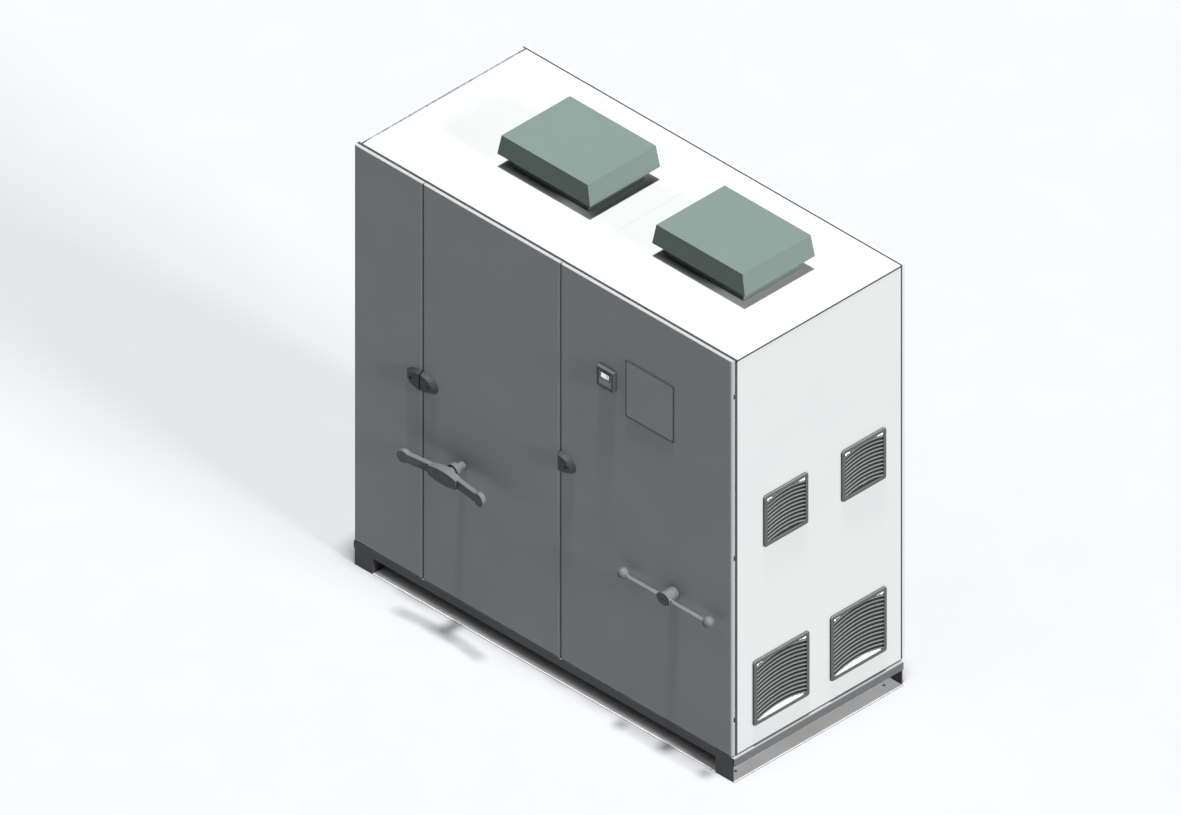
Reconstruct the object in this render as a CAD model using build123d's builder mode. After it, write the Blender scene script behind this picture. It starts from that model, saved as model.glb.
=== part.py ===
from build123d import *
import math
import os

os.makedirs("parts", exist_ok=True)

# A marine switchboard: three bayed sections of unequal width behind full-height doors, on a
# channel plinth, with two roof ventilators and four louvred filters in the right side panel.
# The origin is the centre of the floor bolt pattern, on the floor. +X runs right along the
# doors, +Y runs back into the cabinet and +Z runs up. All sizes are in millimetres.

# Overall sizes
section_widths = (400.0, 800.0, 1000.0)
cabinet_top = 2110.0
frame_depth = 962.0
plinth_height = 120.0
plinth_ledge = 12.0

# Folded sheet and the gaps between panels
sheet = 2.0
side_panel_depth = 12.0
side_panel_clearance = 7.0
rear_panel_depth = 20.0
bay_sheet = 2.0
panel_seam = 2.0
roof_left_gap = 10.0
roof_joint_gap = 0.4

# Plinth channels
channel_sheet = 4.0
channel_depth = 110.0
channel_lip = 40.0
channel_edge_radius = 6.0
end_plate_inset = 6.0
floor_bolt_radius = 7.0
floor_bolt_from_end = 60.0

# Section frames
post_width = 36.0
post_depth = 40.0
tube_wall = 2.5
rail_height = 40.0
seal_lip_from_edge = 28.0
seal_lip_reach = 10.0
seal_clearance = 0.3

# Doors
door_depth = 18.0
door_back_gap = 4.0
door_bottom_gap = 4.0
door_edge_radius = 10.0
gasket_width = 10.0

# Hinges
pivot_inset = 8.0
pivot_back = 8.0
hinge_pin_radius = 2.5
pin_head_radius = 3.7
pin_head_height = 2.0
running_clearance = 0.05
hinge_eye_radius = 4.2
hinge_arm_sheet = 4.0
hinge_arm_reach = 12.0
hinge_foot_width = 14.0
bracket_height = 20.0
lug_height = 10.0
lug_reach = 8.0
hinge_gap = 0.5
hinge_end_distance = 180.0
hinges_per_door = 3

# Door locks
lock_height = 1121.0
lock_from_edge = 50.0
escutcheon_length = 92.0
escutcheon_height = 100.0
escutcheon_rise = 20.0
escutcheon_taper = 0.75
escutcheon_edge_radius = 4.0
escutcheon_edge_gap = 2.0
crease_width = 1.6
crease_depth = 1.0
insert_radius = 14.0
insert_proud = 1.0
key_recess_radius = 8.5
key_pin_radius = 3.0
key_recess_depth = 10.0
lock_stem_radius = 6.0
tongue_length = 32.0
tongue_width = 16.0
tongue_sheet = 3.0
tongue_clearance = 1.0

# Moulded double-arm handle on door 2
moulded_handle_from_left = 636.0
moulded_handle_height = 813.0
moulded_span = 502.0
moulded_thickness = 22.0
moulded_angle = 7.5
moulded_stand_off = 106.0
moulded_knob_radius = 31.0
moulded_arm_height = 44.0
moulded_body_height = 67.0
moulded_body_half = 80.0
moulded_body_rise = 20.0
moulded_edge_radius = 3.0
moulded_hub_radius = 20.0
moulded_boss_radius = 32.0
moulded_boss_length = 24.0
moulded_boss_from_door = 40.0

# Ball handle on door 3
ball_handle_from_left = 1865.0
ball_handle_height = 787.0
ball_radius = 25.0
ball_spacing = 495.0
ball_rod_radius = 6.5
ball_rod_stand_off = 52.0
ball_rod_seat = 15.0
ball_bore_clearance = 0.3
ball_hub_radius = 29.0
ball_hub_length = 68.0
ball_face_half_width = 38.0
ball_face_sheet = 6.0
hub_door_gap = 0.5
hub_groove = 1.5

# Handle spindles and switch shafts
spindle_radius = 12.0
spindle_reach = 26.0
shaft_square = 12.0
socket_clearance = 0.6
shaft_engagement = 10.0
journal_radius = 9.0
journal_length = 24.0

# Meter and blank cover on door 3
meter_size = 96.0
meter_proud = 18.0
meter_frame = 11.0
meter_recess = 3.0
meter_edge = 1.0
meter_body_size = 91.0
meter_body_depth = 60.0
meter_from_left = 1477.0
meter_height = 1675.0
window_width = 56.0
window_height = 34.0
window_rise = 14.0
window_sheet = 1.5
window_corner = 3.0
key_count = 4
key_radius = 2.5
key_spacing = 18.0
key_proud = 1.0
key_travel = 0.8
key_depth = 3.0
cutout_clearance = 0.5
cover_width = 270.0
cover_height = 273.0
cover_rise = 4.0
cover_corner = 8.0
cover_from_left = 1723.0
cover_centre_height = 1678.5
cover_overlap = 20.0
cover_edge = 1.0
cover_rim_depth = 6.0

# Mounting plates, gland plates and cable glands
plate_from_front = 640.0
plate_sheet = 3.0
plate_flange = 25.0
plate_side_gap = 20.0
gland_sheet = 3.0
gland_bearing = 18.0
gland_radius = 25.0
gland_bore_radius = 16.0
gland_thread_radius = 20.0
gland_height = 30.0
gland_nut_height = 8.0
gland_spacing = 90.0
gland_counts = (2, 3, 4)
gland_from_front = 180.0

# Busbars
bar_height = 60.0
bar_sheet = 10.0
bar_spacing = 95.0
bar_count = 4
bar_top_distance = 160.0
bar_end_margin = 60.0
insulator_radius = 20.0
insulator_length = 40.0
insulator_inset = 110.0
window_margin = 30.0
dropper_width = 50.0
dropper_spacer = 30.0
pole_spacing = 95.0

# Switches behind the two handles
switch_width = 310.0
switch_height = 330.0
switch_depth = 150.0
mechanism_width = 130.0
mechanism_height = 170.0
mechanism_depth = 50.0
terminal_step = 60.0
barrier_sheet = 6.0
outgoing_length = 260.0

# Terminal rows in section 1
rail_hat_width = 35.0
rail_hat_depth = 15.0
rail_hat_sheet = 1.5
rail_hat_foot = 5.0
terminal_height = 60.0
terminal_depth = 50.0
terminal_pitch = 20.0
terminal_groove = 1.5
terminal_groove_depth = 5.0
terminal_row_heights = (700.0, 1000.0, 1300.0)
terminal_side_margin = 60.0

# Louvred filters in the right side panel: distance of the centre from the front, height
small_louvre = 255.0
large_louvre = 323.0
small_places = ((307.0, 1220.0), (760.0, 1220.0))
large_places = ((280.0, 384.0), (729.0, 384.0))
louvre_proud = 10.0
louvre_frame = 16.0
louvre_corner = 12.0
louvre_face_edge = 1.5
small_pitch = 19.5
large_pitch = 20.2
small_arch = 21.0
large_arch = 28.0
slat_sheet = 4.0
slat_inner_drop = 11.0
slat_front = 8.0
slat_back = -6.0
spigot_wall = 3.0
spigot_depth = 26.0
mat_thickness = 12.0
mat_clearance = 0.3
grid_bar = 5.0
grid_sheet = 4.0
grid_pitch = 45.0

# Roof ventilators
hood_from_left = (800.0, 1700.0)
hood_from_front = 508.0
collar_width = 441.0
collar_depth = 325.0
collar_gap_height = 67.0
collar_inside_hood = 25.0
collar_flange = 20.0
hood_rim_width = 540.0
hood_rim_depth = 408.0
hood_top_width = 500.0
hood_top_depth = 397.0
hood_height = 99.0
stud_radius = 6.0
stud_inset = 12.0
fan_bore_radius = 126.0
fan_ring_wall = 2.5
fan_ring_height = 62.0
fan_plate_sheet = 3.0
fan_fit = 0.5
motor_radius = 45.0
motor_height = 36.0
fan_strut_width = 10.0
fan_strut_height = 5.0
fan_shaft_radius = 4.0
rotor_gap = 2.0
rotor_height = 26.0
blade_count = 7
blade_tip_radius = 121.0
blade_chord = 44.0
blade_pitch_angle = 35.0
blade_sheet = 2.5

# Places worked out from the sizes above
cabinet_width = sum(section_widths)
plinth_length = cabinet_width + plinth_ledge
plinth_depth = door_depth + door_back_gap + frame_depth
left = -plinth_length / 2
front = -plinth_depth / 2
rear = front + plinth_depth
edges = [left + sum(section_widths[:count]) for count in range(len(section_widths) + 1)]
right = edges[-1]
panel_front = front + door_depth + door_back_gap
frame_top = cabinet_top - sheet
door_bottom = plinth_height + door_bottom_gap
door_height = cabinet_top - door_bottom
section_count = len(section_widths)
last_section = section_count - 1

# Outer faces of the posts: against the side panels at the ends, against the bay sheet between
bay_left = [edge + (side_panel_depth if count == 0 else bay_sheet / 2)
            for count, edge in enumerate(edges[:-1])]
bay_right = [edge - (side_panel_depth if count == last_section else bay_sheet / 2)
             for count, edge in enumerate(edges[1:])]

# Edges of the doors and the side that each is hinged on: -1 is left, +1 is right
door_left = [edge + panel_seam / 2 for edge in edges[:-1]]
door_right = [edge - panel_seam / 2 for edge in edges[1:]]
hinge_sides = (-1, 1, 1)
hinge_heights = [door_bottom + hinge_end_distance
                 + count * (door_height - 2 * hinge_end_distance) / (hinges_per_door - 1)
                 for count in range(hinges_per_door)]

plate_front = front + plate_from_front
plate_bottom = plinth_height + rail_height + gland_sheet
plate_top = frame_top - rail_height
low = (Align.MIN, Align.MIN)
low_block = (Align.MIN, Align.MIN, Align.MIN)


def save(builder, name):
    """Labels a finished piece and writes it to its file."""
    builder.part.label = name
    export_step(builder.part, f"parts/{name}.step")


def block(x, y, z, mode=Mode.ADD):
    """Adds a block to the part in hand, from (low, high) along each axis."""
    with Locations((x[0], y[0], z[0])):
        Box(x[1] - x[0], y[1] - y[0], z[1] - z[0], align=low_block, mode=mode)


def front_plane(y, x=0, z=0):
    """A plane across the cabinet at depth y, facing the front, with its origin at x and z."""
    return Plane(origin=(x, y, z), x_dir=(1, 0, 0), z_dir=(0, -1, 0))


def hinge_x(index):
    """X of a door's hinge axis."""
    if hinge_sides[index] < 0:
        return door_left[index] + pivot_inset
    return door_right[index] - pivot_inset


def latch_x(index):
    """X of a door's lock spindle."""
    if hinge_sides[index] < 0:
        return door_right[index] - lock_from_edge
    return door_left[index] + lock_from_edge


# Plinth: the two side channels run the full depth and open outwards
with BuildPart() as plinth_side_rails:
    for outer, inward in ((-plinth_length / 2, 1), (plinth_length / 2, -1)):
        web = outer + inward * channel_depth
        with BuildSketch(front_plane(front)):
            with BuildLine():
                Polyline(
                    (outer, plinth_height - channel_lip),
                    (outer, plinth_height),
                    (web, plinth_height),
                    (web, 0),
                    (outer, 0),
                    (outer, channel_sheet),
                    (web - inward * channel_sheet, channel_sheet),
                    (web - inward * channel_sheet, plinth_height - channel_sheet),
                    (outer + inward * channel_sheet, plinth_height - channel_sheet),
                    (outer + inward * channel_sheet, plinth_height - channel_lip),
                    close=True,
                )
            make_face()
        extrude(amount=-plinth_depth)
    outer_edges = (
        plinth_side_rails.edges()
        .filter_by(Axis.Y)
        .filter_by_position(Axis.Z, plinth_height - 0.1, plinth_height + 0.1)
    )
    fillet(outer_edges.sort_by(Axis.X)[0], channel_edge_radius)
    outer_edges = (
        plinth_side_rails.edges()
        .filter_by(Axis.Y)
        .filter_by_position(Axis.Z, plinth_height - 0.1, plinth_height + 0.1)
    )
    fillet(outer_edges.sort_by(Axis.X)[-1], channel_edge_radius)
    floor_bolts_x = plinth_length - channel_depth
    floor_bolts_y = plinth_depth - 2 * floor_bolt_from_end
    with Locations(Plane.XY.offset(channel_sheet)):
        with GridLocations(floor_bolts_x, floor_bolts_y, 2, 2):
            Hole(floor_bolt_radius, depth=channel_sheet)
save(plinth_side_rails, "plinth_side_rails")

# The front and rear channels stand between the side channels
cross_left = -plinth_length / 2 + channel_depth
cross_length = plinth_length - 2 * channel_depth
with BuildPart() as plinth_cross_rails:
    for outer, inward in ((front, 1), (rear, -1)):
        web = outer + inward * channel_depth
        with BuildSketch(Plane.YZ.offset(cross_left)):
            with BuildLine():
                Polyline(
                    (outer, plinth_height - channel_lip),
                    (outer, plinth_height),
                    (web, plinth_height),
                    (web, 0),
                    (outer, 0),
                    (outer, channel_sheet),
                    (web - inward * channel_sheet, channel_sheet),
                    (web - inward * channel_sheet, plinth_height - channel_sheet),
                    (outer + inward * channel_sheet, plinth_height - channel_sheet),
                    (outer + inward * channel_sheet, plinth_height - channel_lip),
                    close=True,
                )
            make_face()
        extrude(amount=cross_length)
save(plinth_cross_rails, "plinth_cross_rails")

# Plates close the four ends of the side channels
with BuildPart() as plinth_end_plates:
    for outer, inward in ((-plinth_length / 2, 1), (plinth_length / 2, -1)):
        start = outer + inward * end_plate_inset
        stop = outer + inward * (channel_depth - channel_sheet)
        for y in (front, rear - channel_sheet):
            block(
                sorted((start, stop)),
                (y, y + channel_sheet),
                (channel_sheet, plinth_height - channel_sheet),
            )
save(plinth_end_plates, "plinth_end_plates")

# Section frames: square-tube posts, width rails and depth rails
with BuildPart() as frame_posts:
    with BuildSketch(Plane.XY.offset(plinth_height)):
        for x_low, x_high in zip(bay_left, bay_right):
            for x in (x_low + post_width / 2, x_high - post_width / 2):
                for y in (panel_front + post_depth / 2, rear - post_depth / 2):
                    with Locations((x, y)):
                        Rectangle(post_width, post_depth)
                        Rectangle(post_width - 2 * tube_wall, post_depth - 2 * tube_wall,
                                  mode=Mode.SUBTRACT)
    extrude(amount=frame_top - plinth_height)
save(frame_posts, "frame_posts")

rail_levels = (plinth_height + rail_height / 2, frame_top - rail_height / 2)
with BuildPart() as frame_width_rails:
    for x_low, x_high in zip(bay_left, bay_right):
        with BuildSketch(Plane.YZ.offset(x_low + post_width)):
            for y in (panel_front + post_depth / 2, rear - post_depth / 2):
                for z in rail_levels:
                    with Locations((y, z)):
                        Rectangle(post_depth, rail_height)
                        Rectangle(post_depth - 2 * tube_wall, rail_height - 2 * tube_wall,
                                  mode=Mode.SUBTRACT)
        extrude(amount=x_high - x_low - 2 * post_width)
save(frame_width_rails, "frame_width_rails")

with BuildPart() as frame_depth_rails:
    with BuildSketch(front_plane(panel_front + post_depth)):
        for x_low, x_high in zip(bay_left, bay_right):
            for x in (x_low + post_width / 2, x_high - post_width / 2):
                for z in rail_levels:
                    with Locations((x, z)):
                        Rectangle(post_width, rail_height)
                        Rectangle(post_width - 2 * tube_wall, rail_height - 2 * tube_wall,
                                  mode=Mode.SUBTRACT)
    extrude(amount=-(rear - panel_front - 2 * post_depth))
save(frame_depth_rails, "frame_depth_rails")

# A lip round each door opening, which presses into the door's gasket
with BuildPart() as sealing_lips:
    for x_low, x_high in zip(door_left, door_right):
        lip_width = x_high - x_low - 2 * seal_lip_from_edge
        lip_height = door_height - 2 * seal_lip_from_edge
        with BuildSketch(front_plane(panel_front)):
            with Locations(((x_low + x_high) / 2, door_bottom + door_height / 2)):
                Rectangle(lip_width, lip_height)
                Rectangle(lip_width - 2 * sheet, lip_height - 2 * sheet, mode=Mode.SUBTRACT)
        extrude(amount=seal_lip_reach)
save(sealing_lips, "sealing_lips")

# Side panels: folded trays that face inwards, against the outer posts
panel_bottom = plinth_height + side_panel_clearance
with BuildPart() as left_side_panel:
    block(
        (left, left + side_panel_depth),
        (panel_front, rear),
        (panel_bottom, cabinet_top),
    )
    offset(
        amount=-sheet,
        openings=left_side_panel.faces().sort_by(Axis.X)[-1],
        kind=Kind.INTERSECTION,
    )
save(left_side_panel, "left_side_panel")

louvres = [(small_louvre, place) for place in small_places]
louvres += [(large_louvre, place) for place in large_places]
with BuildPart() as right_side_panel:
    block(
        (right - side_panel_depth, right),
        (panel_front, rear),
        (panel_bottom, frame_top),
    )
    offset(
        amount=-sheet,
        openings=right_side_panel.faces().sort_by(Axis.X)[0],
        kind=Kind.INTERSECTION,
    )
    # Square openings for the spigots of the louvred filters
    for size, (from_front, height) in louvres:
        with BuildSketch(Plane.YZ.offset(right - sheet)):
            with Locations((front + from_front, height)):
                opening = size - 2 * louvre_frame + 2 * (spigot_wall + cutout_clearance)
                Rectangle(opening, opening)
        extrude(amount=sheet, mode=Mode.SUBTRACT)
save(right_side_panel, "right_side_panel")

# Roof of two plates with an opening under each ventilator: they meet over the last bay sheet
hood_centres = [(left + from_left, front + hood_from_front) for from_left in hood_from_left]
duct_width = collar_width - 2 * (sheet + collar_flange)
duct_depth = collar_depth - 2 * (sheet + collar_flange)
roof_spans = (
    (left + side_panel_depth + roof_left_gap, edges[last_section] - roof_joint_gap / 2),
    (edges[last_section] + roof_joint_gap / 2, right),
)
with BuildPart() as roof_panel:
    for span in roof_spans:
        block(span, (panel_front, rear), (frame_top, cabinet_top))
    with BuildSketch(Plane.XY.offset(frame_top)):
        with Locations(*hood_centres):
            Rectangle(duct_width, duct_depth)
    extrude(amount=sheet, mode=Mode.SUBTRACT)
save(roof_panel, "roof_panel")

# Rear panels: folded trays that close the back of each section
with BuildPart() as rear_panels:
    for x_low, x_high in zip(door_left, door_right):
        block(
            (x_low, x_high),
            (rear, rear + rear_panel_depth),
            (panel_bottom, cabinet_top),
        )
        block(
            (x_low + sheet, x_high - sheet),
            (rear, rear + rear_panel_depth - sheet),
            (panel_bottom + sheet, cabinet_top - sheet),
            mode=Mode.SUBTRACT,
        )
save(rear_panels, "rear_panels")

# Bay sheets between the sections, with a window for the busbars
bar_levels = [plate_top - bar_top_distance - count * bar_spacing for count in range(bar_count)]
bar_front = plate_front - insulator_length - bar_sheet
window_low = bar_levels[-1] - bar_height / 2 - window_margin
window_high = bar_levels[0] + bar_height / 2 + window_margin
with BuildPart() as bay_sheets:
    for edge in edges[1:-1]:
        block(
            (edge - bay_sheet / 2, edge + bay_sheet / 2),
            (panel_front, rear),
            (plinth_height, frame_top),
        )
        block(
            (edge - bay_sheet / 2, edge + bay_sheet / 2),
            (bar_front - window_margin, bar_front + bar_sheet + window_margin),
            (window_low, window_high),
            mode=Mode.SUBTRACT,
        )
save(bay_sheets, "bay_sheets")

# Mounting plates: trays that face back, between the gland plates and the top depth rails
with BuildPart() as mounting_plates:
    for x_low, x_high in zip(bay_left, bay_right):
        block(
            (x_low + plate_side_gap, x_high - plate_side_gap),
            (plate_front, plate_front + plate_flange),
            (plate_bottom, plate_top),
        )
        block(
            (x_low + plate_side_gap + plate_sheet, x_high - plate_side_gap - plate_sheet),
            (plate_front + plate_sheet, plate_front + plate_flange),
            (plate_bottom + plate_sheet, plate_top - plate_sheet),
            mode=Mode.SUBTRACT,
        )
save(mounting_plates, "mounting_plates")

# Gland plates: the floor of each section, on the bottom depth rails, with their gland holes
gland_floor = plinth_height + rail_height
gland_places = []
for index in range(section_count):
    middle = (bay_left[index] + bay_right[index]) / 2
    count = gland_counts[index]
    for number in range(count):
        offset_x = (number - (count - 1) / 2) * gland_spacing
        gland_places.append((middle + offset_x, front + gland_from_front))

with BuildPart() as gland_plates:
    for x_low, x_high in zip(bay_left, bay_right):
        block(
            (x_low + post_width - gland_bearing, x_high - post_width + gland_bearing),
            (panel_front + post_depth, rear - post_depth),
            (gland_floor, gland_floor + gland_sheet),
        )
    with Locations(Plane.XY.offset(gland_floor + gland_sheet)):
        with Locations(*gland_places):
            Hole(gland_thread_radius + running_clearance, depth=gland_sheet)
save(gland_plates, "gland_plates")

# Cable glands: a collar above the plate and a locknut under it, with an open bore
with BuildPart() as cable_glands:
    gland_levels = (
        (gland_floor - gland_nut_height, gland_nut_height, gland_radius),
        (gland_floor, gland_sheet, gland_thread_radius),
        (gland_floor + gland_sheet, gland_height, gland_radius),
    )
    for level, height, radius in gland_levels:
        with BuildSketch(Plane.XY.offset(level)):
            with Locations(*gland_places):
                if radius == gland_thread_radius:
                    Circle(radius)
                else:
                    RegularPolygon(radius, 6)
                Circle(gland_bore_radius, mode=Mode.SUBTRACT)
        extrude(amount=height)
save(cable_glands, "cable_glands")

# Main busbars run through all three sections, on stand-off insulators
with BuildPart() as busbars:
    for level in bar_levels:
        block(
            (bay_left[0] + bar_end_margin, bay_right[-1] - bar_end_margin),
            (bar_front, bar_front + bar_sheet),
            (level - bar_height / 2, level + bar_height / 2),
        )
save(busbars, "busbars")

with BuildPart() as busbar_insulators:
    with BuildSketch(front_plane(plate_front)):
        for x_low, x_high in zip(bay_left, bay_right):
            for x in (x_low + insulator_inset, x_high - insulator_inset):
                for level in bar_levels:
                    with Locations((x, level)):
                        RegularPolygon(insulator_radius, 8)
    extrude(amount=insulator_length)
save(busbar_insulators, "busbar_insulators")

# Switches: a moulded block with three poles, a mechanism housing and a shaft bearing
switch_axes = (
    (left + moulded_handle_from_left, moulded_handle_height),
    (left + ball_handle_from_left, ball_handle_height),
)
switch_front = plate_front - switch_depth
mechanism_front = switch_front - mechanism_depth
dropper_front = bar_front - dropper_spacer - bar_sheet
terminal_face = dropper_front + bar_sheet
for index, (axis_x, axis_z) in enumerate(switch_axes):
    top = axis_z + switch_height / 2
    bottom = axis_z - switch_height / 2
    with BuildPart() as switch_body:
        # Side profile with a step at the top and bottom for the terminals
        with BuildSketch(Plane.YZ.offset(axis_x - switch_width / 2)):
            with BuildLine():
                Polyline(
                    (plate_front, bottom),
                    (plate_front, top),
                    (terminal_face, top),
                    (terminal_face, top - terminal_step),
                    (switch_front, top - terminal_step),
                    (switch_front, bottom + terminal_step),
                    (terminal_face, bottom + terminal_step),
                    (terminal_face, bottom),
                    close=True,
                )
            make_face()
        extrude(amount=switch_width)
        # Barriers between the poles
        for number in range(4):
            x = axis_x + (number - 1.5) * pole_spacing - barrier_sheet / 2
            for z_low in (top - terminal_step, bottom):
                block(
                    (x, x + barrier_sheet),
                    (switch_front, terminal_face),
                    (z_low, z_low + terminal_step),
                )
        # Mechanism housing with its bearing bore
        with BuildSketch(front_plane(switch_front)):
            with Locations((axis_x, axis_z)):
                RectangleRounded(mechanism_width, mechanism_height, door_edge_radius)
        extrude(amount=mechanism_depth)
        with BuildSketch(front_plane(mechanism_front)):
            with Locations((axis_x, axis_z)):
                Circle(journal_radius + running_clearance)
        extrude(amount=-journal_length, mode=Mode.SUBTRACT)
    save(switch_body, f"switch_body_{index + 2}")

    # The switch shaft: a round journal in the mechanism and a square bar to the door
    with BuildPart() as switch_shaft:
        with BuildSketch(front_plane(mechanism_front + journal_length)):
            with Locations((axis_x, axis_z)):
                Circle(journal_radius)
        extrude(amount=journal_length)
        with BuildSketch(front_plane(mechanism_front)):
            with Locations((axis_x, axis_z)):
                Rectangle(shaft_square, shaft_square)
        extrude(amount=mechanism_front - (front + spindle_reach - shaft_engagement))
    save(switch_shaft, f"switch_shaft_{index + 2}")

# Droppers from three of the main bars to the switches, and links out to the cables
with BuildPart() as busbar_droppers:
    for axis_x, axis_z in switch_axes:
        top = axis_z + switch_height / 2
        bottom = axis_z - switch_height / 2
        for pole in range(3):
            x = axis_x + (pole - 1) * pole_spacing
            x_span = (x - dropper_width / 2, x + dropper_width / 2)
            level = bar_levels[pole]
            block(
                x_span,
                (dropper_front, dropper_front + bar_sheet),
                (top - terminal_step + bar_sheet, level + bar_height / 2),
            )
            block(
                x_span,
                (dropper_front + bar_sheet, bar_front),
                (level - bar_height / 2, level + bar_height / 2),
            )
            block(
                x_span,
                (dropper_front, dropper_front + bar_sheet),
                (bottom - outgoing_length, bottom + terminal_step - bar_sheet),
            )
save(busbar_droppers, "busbar_droppers")

# Section 1: hat-profile rails with rows of terminals
row_left = bay_left[0] + terminal_side_margin
row_right = bay_right[0] - terminal_side_margin
with BuildPart() as terminal_rails:
    for level in terminal_row_heights:
        with BuildSketch(Plane.YZ.offset(row_left)):
            with BuildLine():
                half = rail_hat_width / 2
                inner = half - rail_hat_foot
                Polyline(
                    (plate_front, level - inner),
                    (plate_front - rail_hat_depth, level - inner),
                    (plate_front - rail_hat_depth, level - half),
                    (plate_front - rail_hat_depth - rail_hat_sheet, level - half),
                    (plate_front - rail_hat_depth - rail_hat_sheet,
                     level - inner + rail_hat_sheet),
                    (plate_front - rail_hat_sheet, level - inner + rail_hat_sheet),
                    (plate_front - rail_hat_sheet, level + inner - rail_hat_sheet),
                    (plate_front - rail_hat_depth - rail_hat_sheet,
                     level + inner - rail_hat_sheet),
                    (plate_front - rail_hat_depth - rail_hat_sheet, level + half),
                    (plate_front - rail_hat_depth, level + half),
                    (plate_front - rail_hat_depth, level + inner),
                    (plate_front, level + inner),
                    close=True,
                )
            make_face()
        extrude(amount=row_right - row_left)
save(terminal_rails, "terminal_rails")

terminal_back_face = plate_front - rail_hat_depth - rail_hat_sheet
with BuildPart() as terminal_blocks:
    for level in terminal_row_heights:
        with BuildSketch(Plane.YZ.offset(row_left)):
            with BuildLine():
                Polyline(
                    (terminal_back_face, level - terminal_height / 2),
                    (terminal_back_face, level + terminal_height / 2),
                    (terminal_back_face - terminal_depth / 2, level + terminal_height / 2),
                    (terminal_back_face - terminal_depth, level + terminal_height / 4),
                    (terminal_back_face - terminal_depth, level - terminal_height / 4),
                    (terminal_back_face - terminal_depth / 2, level - terminal_height / 2),
                    close=True,
                )
            make_face()
        extrude(amount=row_right - row_left)
    grooves = int((row_right - row_left) / terminal_pitch)
    for level in terminal_row_heights:
        for number in range(1, grooves):
            x = row_left + number * terminal_pitch
            block(
                (x - terminal_groove / 2, x + terminal_groove / 2),
                (terminal_back_face - terminal_depth,
                 terminal_back_face - terminal_depth + terminal_groove_depth),
                (level - terminal_height / 2, level + terminal_height / 2),
                mode=Mode.SUBTRACT,
            )
save(terminal_blocks, "terminal_blocks")


def louvre_slats(size, pitch, arch):
    """The arched, sloping slats of one louvre, let halfway into the walls round them."""
    opening = size - 2 * louvre_frame
    trimmed = opening + spigot_wall
    half_chord = opening / 2 + louvre_frame / 2
    arc_radius = half_chord ** 2 / (2 * arch) + arch / 2
    half_angle = math.asin(half_chord / arc_radius)
    slat_count = int((opening - arch) / pitch) + 1
    with BuildPart() as slats:
        for number in range(slat_count):
            foot = -opening / 2 + slat_inner_drop / 2 + number * pitch
            centre_z = foot + arch - arc_radius
            blade = Plane(
                origin=(right, 0, centre_z),
                x_dir=(1, 0, 0),
                z_dir=(0, -math.cos(half_angle), math.sin(half_angle)),
            )
            with BuildSketch(blade):
                with BuildLine():
                    Polyline(
                        (slat_front, arc_radius - slat_inner_drop / 2),
                        (slat_front, arc_radius - slat_inner_drop / 2 + slat_sheet),
                        (slat_back, arc_radius + slat_inner_drop / 2),
                        (slat_back, arc_radius + slat_inner_drop / 2 - slat_sheet),
                        close=True,
                    )
                make_face()
            revolve(
                axis=Axis((right, 0, centre_z), (1, 0, 0)),
                revolution_arc=2 * math.degrees(half_angle),
            )
        block(
            (right + slat_back, right + slat_front),
            (-trimmed / 2, trimmed / 2),
            (-trimmed / 2, trimmed / 2),
            mode=Mode.INTERSECT,
        )
    return slats.part


def louvre_grille(size, pitch, arch):
    """One louvre: a rounded frame on the panel, arched slats and a spigot through the panel."""
    opening = size - 2 * louvre_frame
    slats = louvre_slats(size, pitch, arch)
    with BuildPart() as grille:
        with BuildSketch(Plane.YZ.offset(right)):
            RectangleRounded(size, size, louvre_corner)
            Rectangle(opening, opening, mode=Mode.SUBTRACT)
        extrude(amount=louvre_proud)
        rim = grille.faces().sort_by(Axis.X)[-1].outer_wire().edges()
        chamfer(rim, louvre_face_edge)
        with BuildSketch(Plane.YZ.offset(right - spigot_depth)):
            Rectangle(opening + 2 * spigot_wall, opening + 2 * spigot_wall)
            Rectangle(opening, opening, mode=Mode.SUBTRACT)
        extrude(amount=spigot_depth)
        add(slats)
    return grille.part


small_grille = louvre_grille(small_louvre, small_pitch, small_arch)
large_grille = louvre_grille(large_louvre, large_pitch, large_arch)
for name, grille, places in (
    ("small_louvres", small_grille, small_places),
    ("large_louvres", large_grille, large_places),
):
    with BuildPart() as louvre_pair:
        for from_front, height in places:
            with Locations((0, front + from_front, height)):
                add(grille)
    save(louvre_pair, name)

# Filter mats behind the slats, and the grids that hold them in the spigots
grid_front = right - spigot_depth + grid_sheet
with BuildPart() as filter_mats:
    for size, (from_front, height) in louvres:
        opening = size - 2 * louvre_frame
        with BuildSketch(Plane.YZ.offset(grid_front)):
            with Locations((front + from_front, height)):
                Rectangle(opening - 2 * mat_clearance, opening - 2 * mat_clearance)
        extrude(amount=mat_thickness)
save(filter_mats, "filter_mats")

with BuildPart() as filter_grids:
    for size, (from_front, height) in louvres:
        opening = size - 2 * louvre_frame - 2 * mat_clearance
        bar_total = int(opening / grid_pitch)
        with BuildSketch(Plane.YZ.offset(grid_front - grid_sheet)):
            with Locations((front + from_front, height)):
                Rectangle(opening, opening)
                Rectangle(opening - 2 * grid_bar, opening - 2 * grid_bar, mode=Mode.SUBTRACT)
                for number in range(1, bar_total):
                    shift = -opening / 2 + number * opening / bar_total
                    with Locations((shift, 0)):
                        Rectangle(grid_bar, opening - grid_bar)
                    with Locations((0, shift)):
                        Rectangle(opening - grid_bar, grid_bar)
        extrude(amount=grid_sheet)
save(filter_grids, "filter_grids")

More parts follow.
